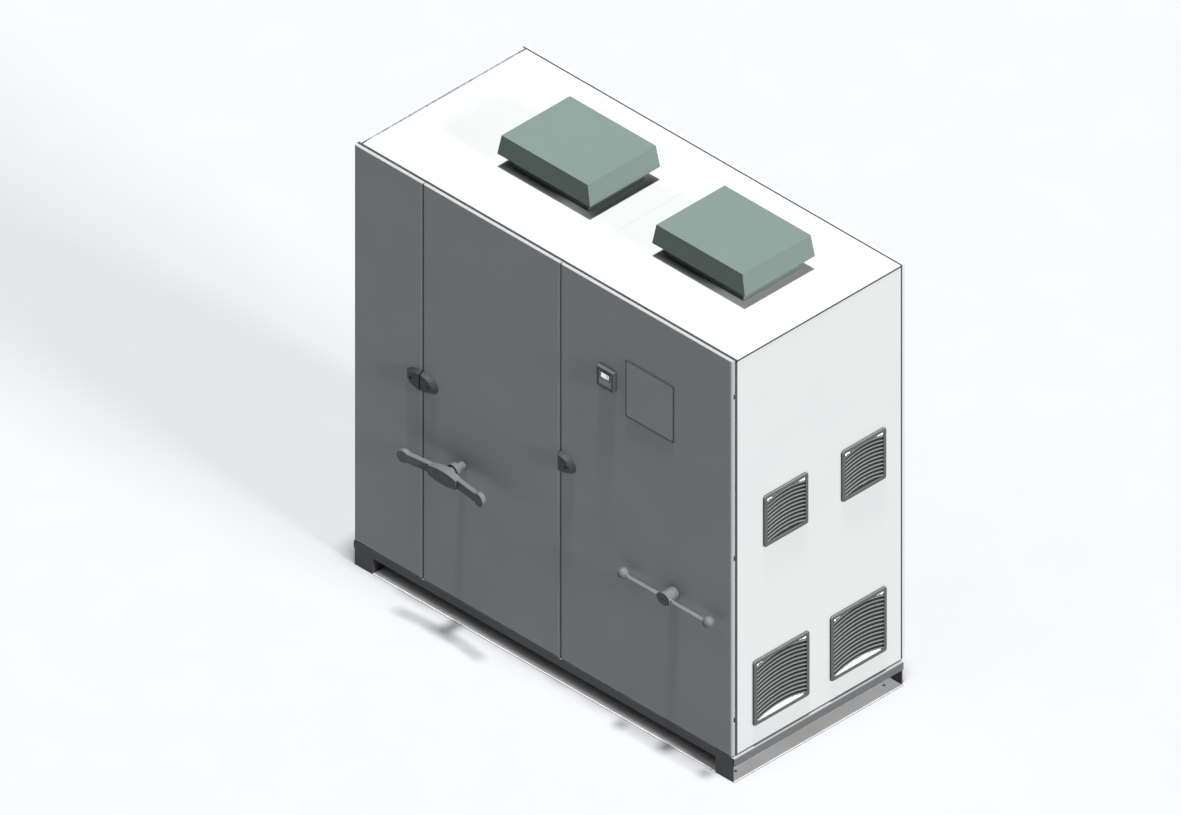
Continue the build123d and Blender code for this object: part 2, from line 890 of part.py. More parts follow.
# Roof ventilators: a square duct on the roof, a hood over it and a fan in the duct
collar_top = cabinet_top + collar_gap_height + collar_inside_hood
hood_bottom = cabinet_top + collar_gap_height
hood_top = hood_bottom + hood_height
with BuildPart() as roof_collars:
    with BuildSketch(Plane.XY.offset(cabinet_top)):
        with Locations(*hood_centres):
            Rectangle(collar_width, collar_depth)
            Rectangle(duct_width, duct_depth, mode=Mode.SUBTRACT)
    extrude(amount=sheet)
    with BuildSketch(Plane.XY.offset(cabinet_top)):
        with Locations(*hood_centres):
            Rectangle(collar_width, collar_depth)
            Rectangle(collar_width - 2 * sheet, collar_depth - 2 * sheet, mode=Mode.SUBTRACT)
    extrude(amount=collar_top - cabinet_top)
save(roof_collars, "roof_collars")

for index, (x, y) in enumerate(hood_centres):
    with BuildPart() as roof_hood:
        with BuildSketch(Plane.XY.offset(hood_bottom)):
            with Locations((x, y)):
                Rectangle(hood_rim_width, hood_rim_depth)
        with BuildSketch(Plane.XY.offset(hood_top)):
            with Locations((x, y)):
                Rectangle(hood_top_width, hood_top_depth)
        loft()
        offset(
            amount=-sheet,
            openings=roof_hood.faces().sort_by(Axis.Z)[0],
            kind=Kind.INTERSECTION,
        )
    save(roof_hood, f"roof_hood_{index + 1}")

# Studs stand on the duct's inner flange and carry the hood
fan_deck = cabinet_top + sheet
stud_x = collar_width / 2 - sheet - stud_inset
stud_y = collar_depth / 2 - sheet - stud_inset
with BuildPart() as hood_studs:
    with BuildSketch(Plane.XY.offset(fan_deck + fan_plate_sheet)):
        with Locations(*hood_centres):
            with GridLocations(2 * stud_x, 2 * stud_y, 2, 2):
                RegularPolygon(stud_radius, 6)
    extrude(amount=hood_top - sheet - fan_deck - fan_plate_sheet)
save(hood_studs, "hood_studs")

# Fan housings: plate, ring, motor on four struts and the motor's shaft
motor_base = fan_deck + fan_plate_sheet
motor_top = motor_base + motor_height
rotor_base = motor_top + rotor_gap
with BuildPart() as fan_housings:
    with BuildSketch(Plane.XY.offset(fan_deck)):
        with Locations(*hood_centres):
            Rectangle(collar_width - 2 * (sheet + fan_fit), collar_depth - 2 * (sheet + fan_fit))
            Circle(fan_bore_radius, mode=Mode.SUBTRACT)
    extrude(amount=fan_plate_sheet)
    with BuildSketch(Plane.XY.offset(fan_deck)):
        with Locations(*hood_centres):
            Circle(fan_bore_radius + fan_ring_wall)
            Circle(fan_bore_radius, mode=Mode.SUBTRACT)
    extrude(amount=fan_ring_height)
    with BuildSketch(Plane.XY.offset(fan_deck)):
        with Locations(*hood_centres):
            for angle in (45, 135):
                Rectangle(2 * fan_bore_radius + fan_ring_wall, fan_strut_width, rotation=angle)
    extrude(amount=fan_strut_height)
    with BuildSketch(Plane.XY.offset(fan_deck)):
        with Locations(*hood_centres):
            Circle(motor_radius)
    extrude(amount=motor_top - fan_deck)
    with BuildSketch(Plane.XY.offset(motor_top)):
        with Locations(*hood_centres):
            Circle(fan_shaft_radius)
    extrude(amount=rotor_gap + rotor_height)
save(fan_housings, "fan_housings")

# Fan impellers: a hub on the motor's shaft with pitched blades
for index, (x, y) in enumerate(hood_centres):
    with BuildPart() as impeller:
        with BuildSketch(Plane.XY.offset(rotor_base)):
            with Locations((x, y)):
                Circle(motor_radius)
        extrude(amount=rotor_height)
        for number in range(blade_count):
            angle = math.radians(number * 360 / blade_count)
            root = Plane(
                origin=(x, y, rotor_base + rotor_height / 2),
                x_dir=(-math.sin(angle), math.cos(angle), 0),
                z_dir=(math.cos(angle), math.sin(angle), 0),
            ).offset(motor_radius - blade_sheet)
            with BuildSketch(root):
                Rectangle(blade_chord, blade_sheet, rotation=blade_pitch_angle)
            extrude(amount=blade_tip_radius - motor_radius + blade_sheet)
        with BuildSketch(Plane.XY.offset(rotor_base)):
            with Locations((x, y)):
                Circle(fan_shaft_radius + running_clearance)
        extrude(amount=rotor_height, mode=Mode.SUBTRACT)
    save(impeller, f"fan_impeller_{index + 1}")

# Hinge brackets: an eye on the hinge axis, an arm inwards, a leg back and a foot on the post
arm_half = hinge_arm_sheet / 2
pivot_y = front + pivot_back
with BuildPart() as hinge_brackets:
    for index in range(section_count):
        inward = -hinge_sides[index]
        x = hinge_x(index)
        leg = x + inward * (hinge_arm_reach - hinge_arm_sheet / 2)
        for level in hinge_heights:
            with BuildSketch(Plane.XY.offset(level - bracket_height / 2)):
                with Locations((x, pivot_y)):
                    Circle(hinge_eye_radius)
                with Locations((x + inward * hinge_arm_reach / 2, pivot_y)):
                    Rectangle(hinge_arm_reach, hinge_arm_sheet)
                with Locations((leg, (pivot_y - arm_half + panel_front) / 2)):
                    Rectangle(hinge_arm_sheet, panel_front - pivot_y + arm_half)
                with Locations((leg, panel_front - hinge_arm_sheet / 2)):
                    Rectangle(hinge_foot_width, hinge_arm_sheet)
                with Locations((x, pivot_y)):
                    Circle(hinge_pin_radius + running_clearance, mode=Mode.SUBTRACT)
            extrude(amount=bracket_height)
save(hinge_brackets, "hinge_brackets")

# Hinge pins stand in the brackets, with a head above the upper lug
lug_start = bracket_height / 2 + hinge_gap
lug_back = pivot_y + hinge_eye_radius
pin_reach = lug_start + lug_height
with BuildPart() as hinge_pins:
    for index in range(section_count):
        for level in hinge_heights:
            with BuildSketch(Plane.XY.offset(level - pin_reach)):
                with Locations((hinge_x(index), pivot_y)):
                    Circle(hinge_pin_radius)
            extrude(amount=2 * pin_reach + hinge_gap)
            with BuildSketch(Plane.XY.offset(level + pin_reach + hinge_gap)):
                with Locations((hinge_x(index), pivot_y)):
                    Circle(pin_head_radius)
            extrude(amount=pin_head_height)
save(hinge_pins, "hinge_pins")


def door_shell(index, cutouts):
    """A folded door: a tray with rounded upright edges, notched at its hinges."""
    x_low = door_left[index]
    x_high = door_right[index]
    hinge_edge = x_low if hinge_sides[index] < 0 else x_high
    outward = hinge_sides[index]
    notch_start = pivot_y - front + (door_edge_radius - pivot_back)
    with BuildPart() as shell:
        with BuildSketch(Plane.XY.offset(door_bottom)) as plan:
            with Locations((x_low, front)):
                Rectangle(x_high - x_low, door_depth, align=low)
            fillet(plan.vertices().group_by(Axis.Y)[0], door_edge_radius)
        extrude(amount=door_height)
        offset(
            amount=-sheet,
            openings=shell.faces().sort_by(Axis.Y)[-1],
            kind=Kind.INTERSECTION,
        )
        # Notches in the hinge flange, so that it passes the bracket arms
        for level in hinge_heights:
            x_span = sorted((hinge_edge + outward, hinge_edge - outward * (sheet + 1)))
            block(
                x_span,
                (front + notch_start, front + door_depth + 1),
                (level - bracket_height / 2 - sheet, level + bracket_height / 2 + sheet),
                mode=Mode.SUBTRACT,
            )
        # Hinge lugs on the inner face, above and below each bracket
        inward = -outward
        lug_x = hinge_edge + inward * (door_edge_radius + lug_reach / 2)
        for level in hinge_heights:
            for z_low in (level + lug_start, level - lug_start - lug_height):
                with BuildSketch(Plane.XY.offset(z_low)):
                    with Locations((hinge_x(index), pivot_y)):
                        Circle(hinge_eye_radius)
                    with Locations((lug_x, (front + sheet + lug_back) / 2)):
                        Rectangle(lug_reach, lug_back - front - sheet)
                    with Locations((hinge_x(index), pivot_y)):
                        Circle(hinge_pin_radius + running_clearance, mode=Mode.SUBTRACT)
                extrude(amount=lug_height)
        # Openings through the front sheet: round ones by radius, others by width and height
        with BuildSketch(front_plane(front)):
            for x, z, width, height in cutouts:
                with Locations((x, z)):
                    if height == 0:
                        Circle(width)
                    else:
                        Rectangle(width, height)
        extrude(amount=-sheet, mode=Mode.SUBTRACT)
    return shell


lock_holes = [(latch_x(index), lock_height, insert_radius + running_clearance, 0)
              for index in range(section_count)]
spindle_hole = spindle_radius + running_clearance
meter_x = left + meter_from_left
cover_x = left + cover_from_left
meter_hole = meter_body_size + 2 * cutout_clearance
door_cutouts = (
    [lock_holes[0]],
    [lock_holes[1], (switch_axes[0][0], switch_axes[0][1], spindle_hole, 0)],
    [
        lock_holes[2],
        (switch_axes[1][0], switch_axes[1][1], spindle_hole, 0),
        (meter_x, meter_height, meter_hole, meter_hole),
        (cover_x, cover_centre_height, cover_width - 2 * cover_overlap,
         cover_height - 2 * cover_overlap),
    ],
)

gasket_from_edge = seal_lip_from_edge + sheet / 2 - gasket_width / 2
gasket_depth = door_depth + door_back_gap - seal_lip_reach - sheet - seal_clearance
for index in range(section_count):
    number = index + 1
    save(door_shell(index, door_cutouts[index]), f"door_{number}_shell")

    x_low = door_left[index]
    x_high = door_right[index]
    with BuildPart() as gasket:
        gasket_width_out = x_high - x_low - 2 * gasket_from_edge
        gasket_height_out = door_height - 2 * gasket_from_edge
        with BuildSketch(front_plane(front + sheet)):
            with Locations(((x_low + x_high) / 2, door_bottom + door_height / 2)):
                Rectangle(gasket_width_out, gasket_height_out)
                Rectangle(gasket_width_out - 2 * gasket_width,
                          gasket_height_out - 2 * gasket_width, mode=Mode.SUBTRACT)
        extrude(amount=-gasket_depth)
    save(gasket, f"door_{number}_gasket")

    # Half-oval lock escutcheon with its straight side at the door's edge
    away = hinge_sides[index]
    straight_x = latch_x(index) - away * (lock_from_edge - escutcheon_edge_gap)
    with BuildPart() as escutcheon:
        for y, share in ((front, 1.0), (front - escutcheon_rise, escutcheon_taper)):
            with BuildSketch(front_plane(y, straight_x, lock_height)):
                with BuildLine():
                    half = share * escutcheon_height / 2
                    Line((0, -half), (0, half))
                    EllipticalCenterArc(
                        (0, 0),
                        share * (escutcheon_length - escutcheon_edge_gap),
                        half,
                        start_angle=90 if away < 0 else -90,
                        arc_size=180,
                    )
                make_face()
        loft()
        rim = escutcheon.faces().sort_by(Axis.Y)[0].edges()
        fillet(rim, escutcheon_edge_radius)
        with BuildSketch(front_plane(front, latch_x(index), lock_height)):
            Circle(insert_radius + running_clearance)
        extrude(amount=escutcheon_rise, mode=Mode.SUBTRACT)
        # A crease from the top of the straight side down to the lock insert
        crease_run = latch_x(index) - straight_x
        crease_drop = escutcheon_taper * escutcheon_height / 2
        with BuildSketch(front_plane(front - escutcheon_rise, straight_x, lock_height)):
            with Locations((crease_run / 2, crease_drop / 2)):
                Rectangle(
                    math.hypot(crease_run, crease_drop),
                    crease_width,
                    rotation=-math.degrees(math.atan(crease_drop / crease_run)),
                )
        extrude(amount=-crease_depth, mode=Mode.SUBTRACT)
    save(escutcheon, f"door_{number}_escutcheon")

    # Lock: a round insert with a key recess, a stem and a tongue behind the frame post
    tongue_front = panel_front + post_depth + tongue_clearance
    insert_front = front - escutcheon_rise - insert_proud
    with BuildPart() as lock:
        with BuildSketch(front_plane(insert_front, latch_x(index), lock_height)):
            Circle(insert_radius)
        extrude(amount=-(front + 2 * sheet - insert_front))
        with BuildSketch(front_plane(front + 2 * sheet, latch_x(index), lock_height)):
            Circle(lock_stem_radius)
        extrude(amount=-(tongue_front + tongue_sheet - front - 2 * sheet))
        with BuildSketch(front_plane(tongue_front, latch_x(index), lock_height)):
            Circle(tongue_width / 2)
            with Locations((0, tongue_length / 2)):
                Rectangle(tongue_width, tongue_length)
        extrude(amount=-tongue_sheet)
        with BuildSketch(front_plane(insert_front, latch_x(index), lock_height)):
            Circle(key_recess_radius)
            Circle(key_pin_radius, mode=Mode.SUBTRACT)
        extrude(amount=-key_recess_depth, mode=Mode.SUBTRACT)
    save(lock, f"lock_{number}")


def handle_spindle(x, z):
    """A handle's spindle: through the door, with a square socket for the shaft."""
    socket = shaft_square + 2 * socket_clearance
    with BuildPart() as spindle:
        with BuildSketch(front_plane(front - hub_door_gap, x, z)):
            Circle(spindle_radius)
        extrude(amount=-(spindle_reach + hub_door_gap))
        with BuildSketch(front_plane(front + spindle_reach, x, z)):
            Rectangle(socket, socket)
        extrude(amount=shaft_engagement + 2 * socket_clearance, mode=Mode.SUBTRACT)
    return spindle.part


# Moulded handle: two arms with round ends, bent to a shallow V in plan, on a thicker body
handle_x, handle_z = switch_axes[0]
half_span = moulded_span / 2
knob_x = half_span - moulded_knob_radius
arm_half_height = moulded_arm_height / 2
tip_out = half_span * math.tan(math.radians(moulded_angle))
arm_front = front - moulded_stand_off
arm_back = arm_front + moulded_thickness
shoulder_y = arm_front - tip_out * moulded_body_half / half_span
body_front = arm_front - moulded_body_rise
boss_back = front - moulded_boss_from_door
moulded_spindle = handle_spindle(handle_x, handle_z)
with BuildPart() as moulded_handle:
    with BuildSketch(front_plane(arm_back, handle_x, handle_z)):
        Rectangle(2 * knob_x, moulded_arm_height)
        with Locations((-knob_x, 0), (knob_x, 0)):
            Circle(moulded_knob_radius)
        with BuildLine():
            ThreePointArc(
                (-moulded_body_half, arm_half_height),
                (0, moulded_body_height / 2),
                (moulded_body_half, arm_half_height),
            )
            Line((moulded_body_half, arm_half_height), (moulded_body_half, -arm_half_height))
            ThreePointArc(
                (moulded_body_half, -arm_half_height),
                (0, -moulded_body_height / 2),
                (-moulded_body_half, -arm_half_height),
            )
            Line((-moulded_body_half, -arm_half_height), (-moulded_body_half, arm_half_height))
        make_face()
    extrude(amount=moulded_thickness + tip_out)
    with BuildSketch(Plane.XY.offset(handle_z - moulded_body_height)):
        with BuildLine():
            Polyline(
                (handle_x - half_span, arm_front - tip_out),
                (handle_x - moulded_body_half, shoulder_y),
                (handle_x - moulded_body_half, body_front),
                (handle_x + moulded_body_half, body_front),
                (handle_x + moulded_body_half, shoulder_y),
                (handle_x + half_span, arm_front - tip_out),
                (handle_x + half_span, arm_back - tip_out),
                (handle_x, arm_back),
                (handle_x - half_span, arm_back - tip_out),
                close=True,
            )
        make_face()
    extrude(amount=2 * moulded_body_height, mode=Mode.INTERSECT)
    fillet(moulded_handle.faces().sort_by(Axis.Y)[0].edges(), moulded_edge_radius)
    arm_faces = moulded_handle.faces().filter_by(lambda face: face.normal_at().Y < -0.9)
    arm_edges = [edge for face in arm_faces for edge in face.edges()
                 if abs(edge.center().X - handle_x) > moulded_body_half + 1]
    fillet(arm_edges, moulded_edge_radius)
    with BuildSketch(front_plane(boss_back - moulded_boss_length, handle_x, handle_z)):
        Circle(moulded_boss_radius)
    extrude(amount=-moulded_boss_length)
    with BuildSketch(front_plane(arm_back - moulded_thickness / 2, handle_x, handle_z)):
        Circle(moulded_hub_radius)
    extrude(amount=-(front - hub_door_gap - arm_back + moulded_thickness / 2))
    add(moulded_spindle)
save(moulded_handle, "moulded_handle")

# Ball handle: a hub, a rod through it and a ball on each end of the rod
hub_x, hub_z = switch_axes[1]
rod_y = front - ball_rod_stand_off
rod_half = ball_spacing / 2 - ball_radius + ball_rod_seat
ball_spindle = handle_spindle(hub_x, hub_z)
with BuildPart() as ball_handle_hub:
    with BuildSketch(front_plane(front - hub_door_gap, hub_x, hub_z)):
        Circle(ball_hub_radius)
    extrude(amount=ball_hub_length - hub_door_gap)
    with BuildSketch(front_plane(front - ball_hub_length + ball_face_sheet, hub_x, hub_z)):
        Ellipse(ball_face_half_width, ball_hub_radius)
    extrude(amount=ball_face_sheet)
    with BuildSketch(Plane.YZ.offset(hub_x - ball_hub_radius)):
        with Locations((rod_y, hub_z)):
            Circle(ball_rod_radius + running_clearance)
    extrude(amount=2 * ball_hub_radius, mode=Mode.SUBTRACT)
    # A groove across the face marks the direction of the rod
    block(
        (hub_x - ball_face_half_width, hub_x + ball_face_half_width),
        (front - ball_hub_length, front - ball_hub_length + hub_groove),
        (hub_z - hub_groove / 2, hub_z + hub_groove / 2),
        mode=Mode.SUBTRACT,
    )
    add(ball_spindle)
save(ball_handle_hub, "ball_handle_hub")

with BuildPart() as ball_handle_rod:
    with BuildSketch(Plane.YZ.offset(hub_x - rod_half)):
        with Locations((rod_y, hub_z)):
            Circle(ball_rod_radius)
    extrude(amount=2 * rod_half)
save(ball_handle_rod, "ball_handle_rod")

# Half profile of a ball with its blind bore, turned about the rod's axis
bore_radius = ball_rod_radius + ball_bore_clearance
bore_mouth = math.sqrt(ball_radius ** 2 - bore_radius ** 2)
bore_end = ball_radius - ball_rod_seat
with BuildPart() as ball_handle_balls:
    for side in (-1, 1):
        centre = (hub_x + side * ball_spacing / 2, rod_y, hub_z)
        with BuildSketch(Plane(origin=centre, x_dir=(-side, 0, 0), z_dir=(0, 0, 1))):
            with BuildLine():
                ThreePointArc((-ball_radius, 0), (0, ball_radius), (bore_mouth, bore_radius))
                Polyline(
                    (bore_mouth, bore_radius),
                    (bore_end, bore_radius),
                    (bore_end, 0),
                    (-ball_radius, 0),
                )
            make_face()
        revolve(axis=Axis(centre, (1, 0, 0)))
save(ball_handle_balls, "ball_handle_balls")

# Panel meter: a square case through the door with a raised frame, a display window and keys
key_height = meter_height - (meter_size - meter_frame) / 2
with BuildPart() as meter_case:
    with BuildSketch(front_plane(front, meter_x, meter_height)):
        Rectangle(meter_size, meter_size)
    extrude(amount=meter_proud)
    chamfer(meter_case.faces().sort_by(Axis.Y)[0].edges(), meter_edge)
    with BuildSketch(front_plane(front, meter_x, meter_height)):
        Rectangle(meter_body_size, meter_body_size)
    extrude(amount=-meter_body_depth)
    with BuildSketch(front_plane(front - meter_proud, meter_x, meter_height)):
        Rectangle(meter_size - 2 * meter_frame, meter_size - 2 * meter_frame)
    extrude(amount=-meter_recess, mode=Mode.SUBTRACT)
    # A row of bores for the keys along the lower side of the frame
    with BuildSketch(front_plane(front - meter_proud, meter_x, key_height)):
        with GridLocations(key_spacing, 0, key_count, 1):
            Circle(key_radius + running_clearance)
    extrude(amount=-(key_depth + key_travel), mode=Mode.SUBTRACT)
save(meter_case, "meter_case")

for number in range(key_count):
    key_x = meter_x + (number - (key_count - 1) / 2) * key_spacing
    with BuildPart() as meter_key:
        with BuildSketch(front_plane(front - meter_proud - key_proud, key_x, key_height)):
            Circle(key_radius)
        extrude(amount=-(key_proud + key_depth))
    save(meter_key, f"meter_key_{number + 1}")

window_front = front - meter_proud + meter_recess
with BuildPart() as meter_window:
    with BuildSketch(front_plane(window_front, meter_x, meter_height + window_rise)):
        RectangleRounded(window_width, window_height, window_corner)
    extrude(amount=window_sheet)
save(meter_window, "meter_window")

# Blank cover over the spare opening, with a rim that centres it in the door
with BuildPart() as cover_plate:
    with BuildSketch(front_plane(front, cover_x, cover_centre_height)):
        RectangleRounded(cover_width, cover_height, cover_corner)
    extrude(amount=cover_rise)
    chamfer(cover_plate.faces().sort_by(Axis.Y)[0].edges(), cover_edge)
    rim_width = cover_width - 2 * (cover_overlap + cutout_clearance)
    rim_height = cover_height - 2 * (cover_overlap + cutout_clearance)
    with BuildSketch(front_plane(front, cover_x, cover_centre_height)):
        Rectangle(rim_width, rim_height)
        Rectangle(rim_width - 2 * sheet, rim_height - 2 * sheet, mode=Mode.SUBTRACT)
    extrude(amount=-cover_rim_depth)
save(cover_plate, "cover_plate")
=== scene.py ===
import logging
import math
import random
from dataclasses import dataclass, replace
from enum import Enum

import bmesh
import bpy
from mathutils import Matrix, Vector


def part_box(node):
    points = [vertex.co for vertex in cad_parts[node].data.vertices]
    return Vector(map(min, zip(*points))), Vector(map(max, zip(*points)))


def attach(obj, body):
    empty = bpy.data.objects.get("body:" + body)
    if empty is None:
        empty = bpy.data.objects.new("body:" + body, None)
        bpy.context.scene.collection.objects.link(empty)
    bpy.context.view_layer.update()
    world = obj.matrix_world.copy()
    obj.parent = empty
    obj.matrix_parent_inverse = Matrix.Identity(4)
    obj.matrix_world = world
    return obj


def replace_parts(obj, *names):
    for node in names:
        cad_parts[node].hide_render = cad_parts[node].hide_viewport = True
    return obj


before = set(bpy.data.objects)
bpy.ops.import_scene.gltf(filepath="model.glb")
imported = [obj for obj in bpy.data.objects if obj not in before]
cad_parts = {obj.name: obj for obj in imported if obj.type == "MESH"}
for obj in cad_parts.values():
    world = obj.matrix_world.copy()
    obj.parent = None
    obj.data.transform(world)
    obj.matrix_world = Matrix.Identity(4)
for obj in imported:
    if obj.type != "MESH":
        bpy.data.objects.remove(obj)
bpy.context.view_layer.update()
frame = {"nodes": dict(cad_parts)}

MM = 0.001
# Vertices nearer than this, in metres, are one point
TOUCH = 1e-6
# A hexagon's width across its flats over the radius of its corners
FLATS_TO_CORNER = 1.732
HEXAGON = 6
# How far painted shade and dirt reach out of a seam, and their colour
SEAM_REACH_MM = 14
SEAM_SHADE_AND_DIRT = "#15171A"
# Sockets of a Mix node set to colours, whose names its other sockets share
SHARE, FIRST, SECOND, MIXED = 0, 6, 7, 2
Tree = bpy.types.NodeTree
Node = bpy.types.Node
Socket = bpy.types.NodeSocket
log = logging.getLogger("switchboard")


class Run(Enum):
    """The direction that a bolt, a bar or a rolled surface follows."""

    X = (1.0, 0.0, 0.0)
    Y = (0.0, 1.0, 0.0)
    Z = (0.0, 0.0, 1.0)

    @property
    def turn(self) -> Matrix:
        """The turn that brings a shape made along Z onto this direction."""
        upright = Vector(Run.Z.value)
        return upright.rotation_difference(Vector(self.value)).to_matrix().to_4x4()


class Body(Enum):
    """The rigid bodies that new pieces ride on."""

    CABINET = "cabinet"
    DOOR_1 = "door_1"
    DOOR_2 = "door_2"
    DOOR_3 = "door_3"


def linear(hex_colour: str) -> tuple[float, float, float, float]:
    """Turns an sRGB hex colour into the linear values that a shader takes.

    The numbers are those of the sRGB standard's curve.

    Args:
        hex_colour: Six hex digits with a leading hash.

    Returns:
        Red, green, blue and an alpha of one.
    """
    values = []
    for start in (1, 3, 5):
        share = int(hex_colour[start:start + 2], 16) / 255
        values.append(share / 12.92 if share <= 0.04045 else ((share + 0.055) / 1.055) ** 2.4)
    return (*values, 1.0)


def per_metre(size_mm: float) -> float:
    """Gives the texture scale, in repeats per metre, of a pattern of one real size."""
    return 1.0 / (size_mm * MM)


def add_node(tree: Tree, kind: str, inputs: dict | None = None, **settings: object) -> Node:
    """Adds a shader node with its settings, values and links.

    Args:
        tree: The material's node tree.
        kind: The node's type name.
        inputs: Values or output sockets, by the name or number of the input.
        settings: Attributes of the node itself.

    Returns:
        The new node.
    """
    node = tree.nodes.new(kind)
    for name, value in settings.items():
        setattr(node, name, value)
    for key, value in (inputs or {}).items():
        if isinstance(value, Socket):
            tree.links.new(value, node.inputs[key])
        else:
            node.inputs[key].default_value = value
    return node


@dataclass(frozen=True)
class Finish:
    """A surface finish: base values and the steps that every finish shares.

    Subclasses add their own pattern in dress().
    """

    name: str
    colour: str
    roughness: float = 0.5
    metallic: float = 0.0
    edge_mm: float = 1.0
    # How strongly painted shade and dirt darken seams and inner corners
    seam_shade_and_dirt: float = 0.35
    gloss: float = 0.5

    def material(self) -> bpy.types.Material:
        """Builds the material once and returns it each time it is asked for."""
        found = bpy.data.materials.get(self.name)
        if found:
            return found
        material = bpy.data.materials.new(self.name)
        material.use_nodes = True
        material.diffuse_color = linear(self.colour)
        tree = material.node_tree
        shader = tree.nodes["Principled BSDF"]
        shader.inputs["Metallic"].default_value = self.metallic
        shader.inputs["Roughness"].default_value = self.roughness
        shader.inputs["Specular IOR Level"].default_value = self.gloss
        place = add_node(tree, "ShaderNodeTexCoord").outputs["Object"]
        colour = self.dress(tree, shader, place)
        tree.links.new(self.shaded_and_soiled(tree, colour), shader.inputs["Base Color"])
        return material

    def dress(self, tree: Tree, shader: Node, place: Socket) -> Socket:
        """Adds the finish's own pattern.

        Args:
            tree: The material's node tree.
            shader: Its surface shader.
            place: Object coordinates in metres.

        Returns:
            The socket with the surface's clean colour.
        """
        raise NotImplementedError

    def shaded_and_soiled(self, tree: Tree, colour: Socket) -> Socket:
        """Paints shade, together with dirt, into seams and inner corners, where light doesn't
        reach and dust settles.

        Args:
            tree: The material's node tree.
            colour: The clean colour.

        Returns:
            The socket with the colour darkened by painted shade and dirt.
        """
        # Painted shade: ambient occlusion darkens seams and corners towards the dirt colour
        crevice = add_node(tree, "ShaderNodeAmbientOcclusion", {
            "Distance": SEAM_REACH_MM * MM,
        }, samples=6)
        depth = add_node(tree, "ShaderNodeMapRange", {
            "Value": crevice.outputs["AO"],
            "From Min": 0.25,
            "From Max": 0.8,
            "To Min": self.seam_shade_and_dirt,
            "To Max": 0.0,
        })
        shaded_and_dirtied = add_node(tree, "ShaderNodeMix", {
            SHARE: depth.outputs["Result"], FIRST: colour, SECOND: linear(SEAM_SHADE_AND_DIRT),
        }, data_type="RGBA")
        return shaded_and_dirtied.outputs[MIXED]

    def relief(self, tree: Tree, shader: Node, height: Socket, depth_mm: float) -> None:
        """Feeds a height pattern and the softly rounded edges to the shader's normal.

        Args:
            tree: The material's node tree.
            shader: The surface shader.
            height: The socket with the pattern's height, from 0 to 1.
            depth_mm: How deep the pattern is.
        """
        rounding = add_node(tree, "ShaderNodeBevel", {"Radius": self.edge_mm * MM}, samples=4)
        bump = add_node(tree, "ShaderNodeBump", {
            "Strength": 1.0,
            "Distance": depth_mm * MM,
            "Height": height,
            "Normal": rounding.outputs["Normal"],
        })
        tree.links.new(bump.outputs["Normal"], shader.inputs["Normal"])


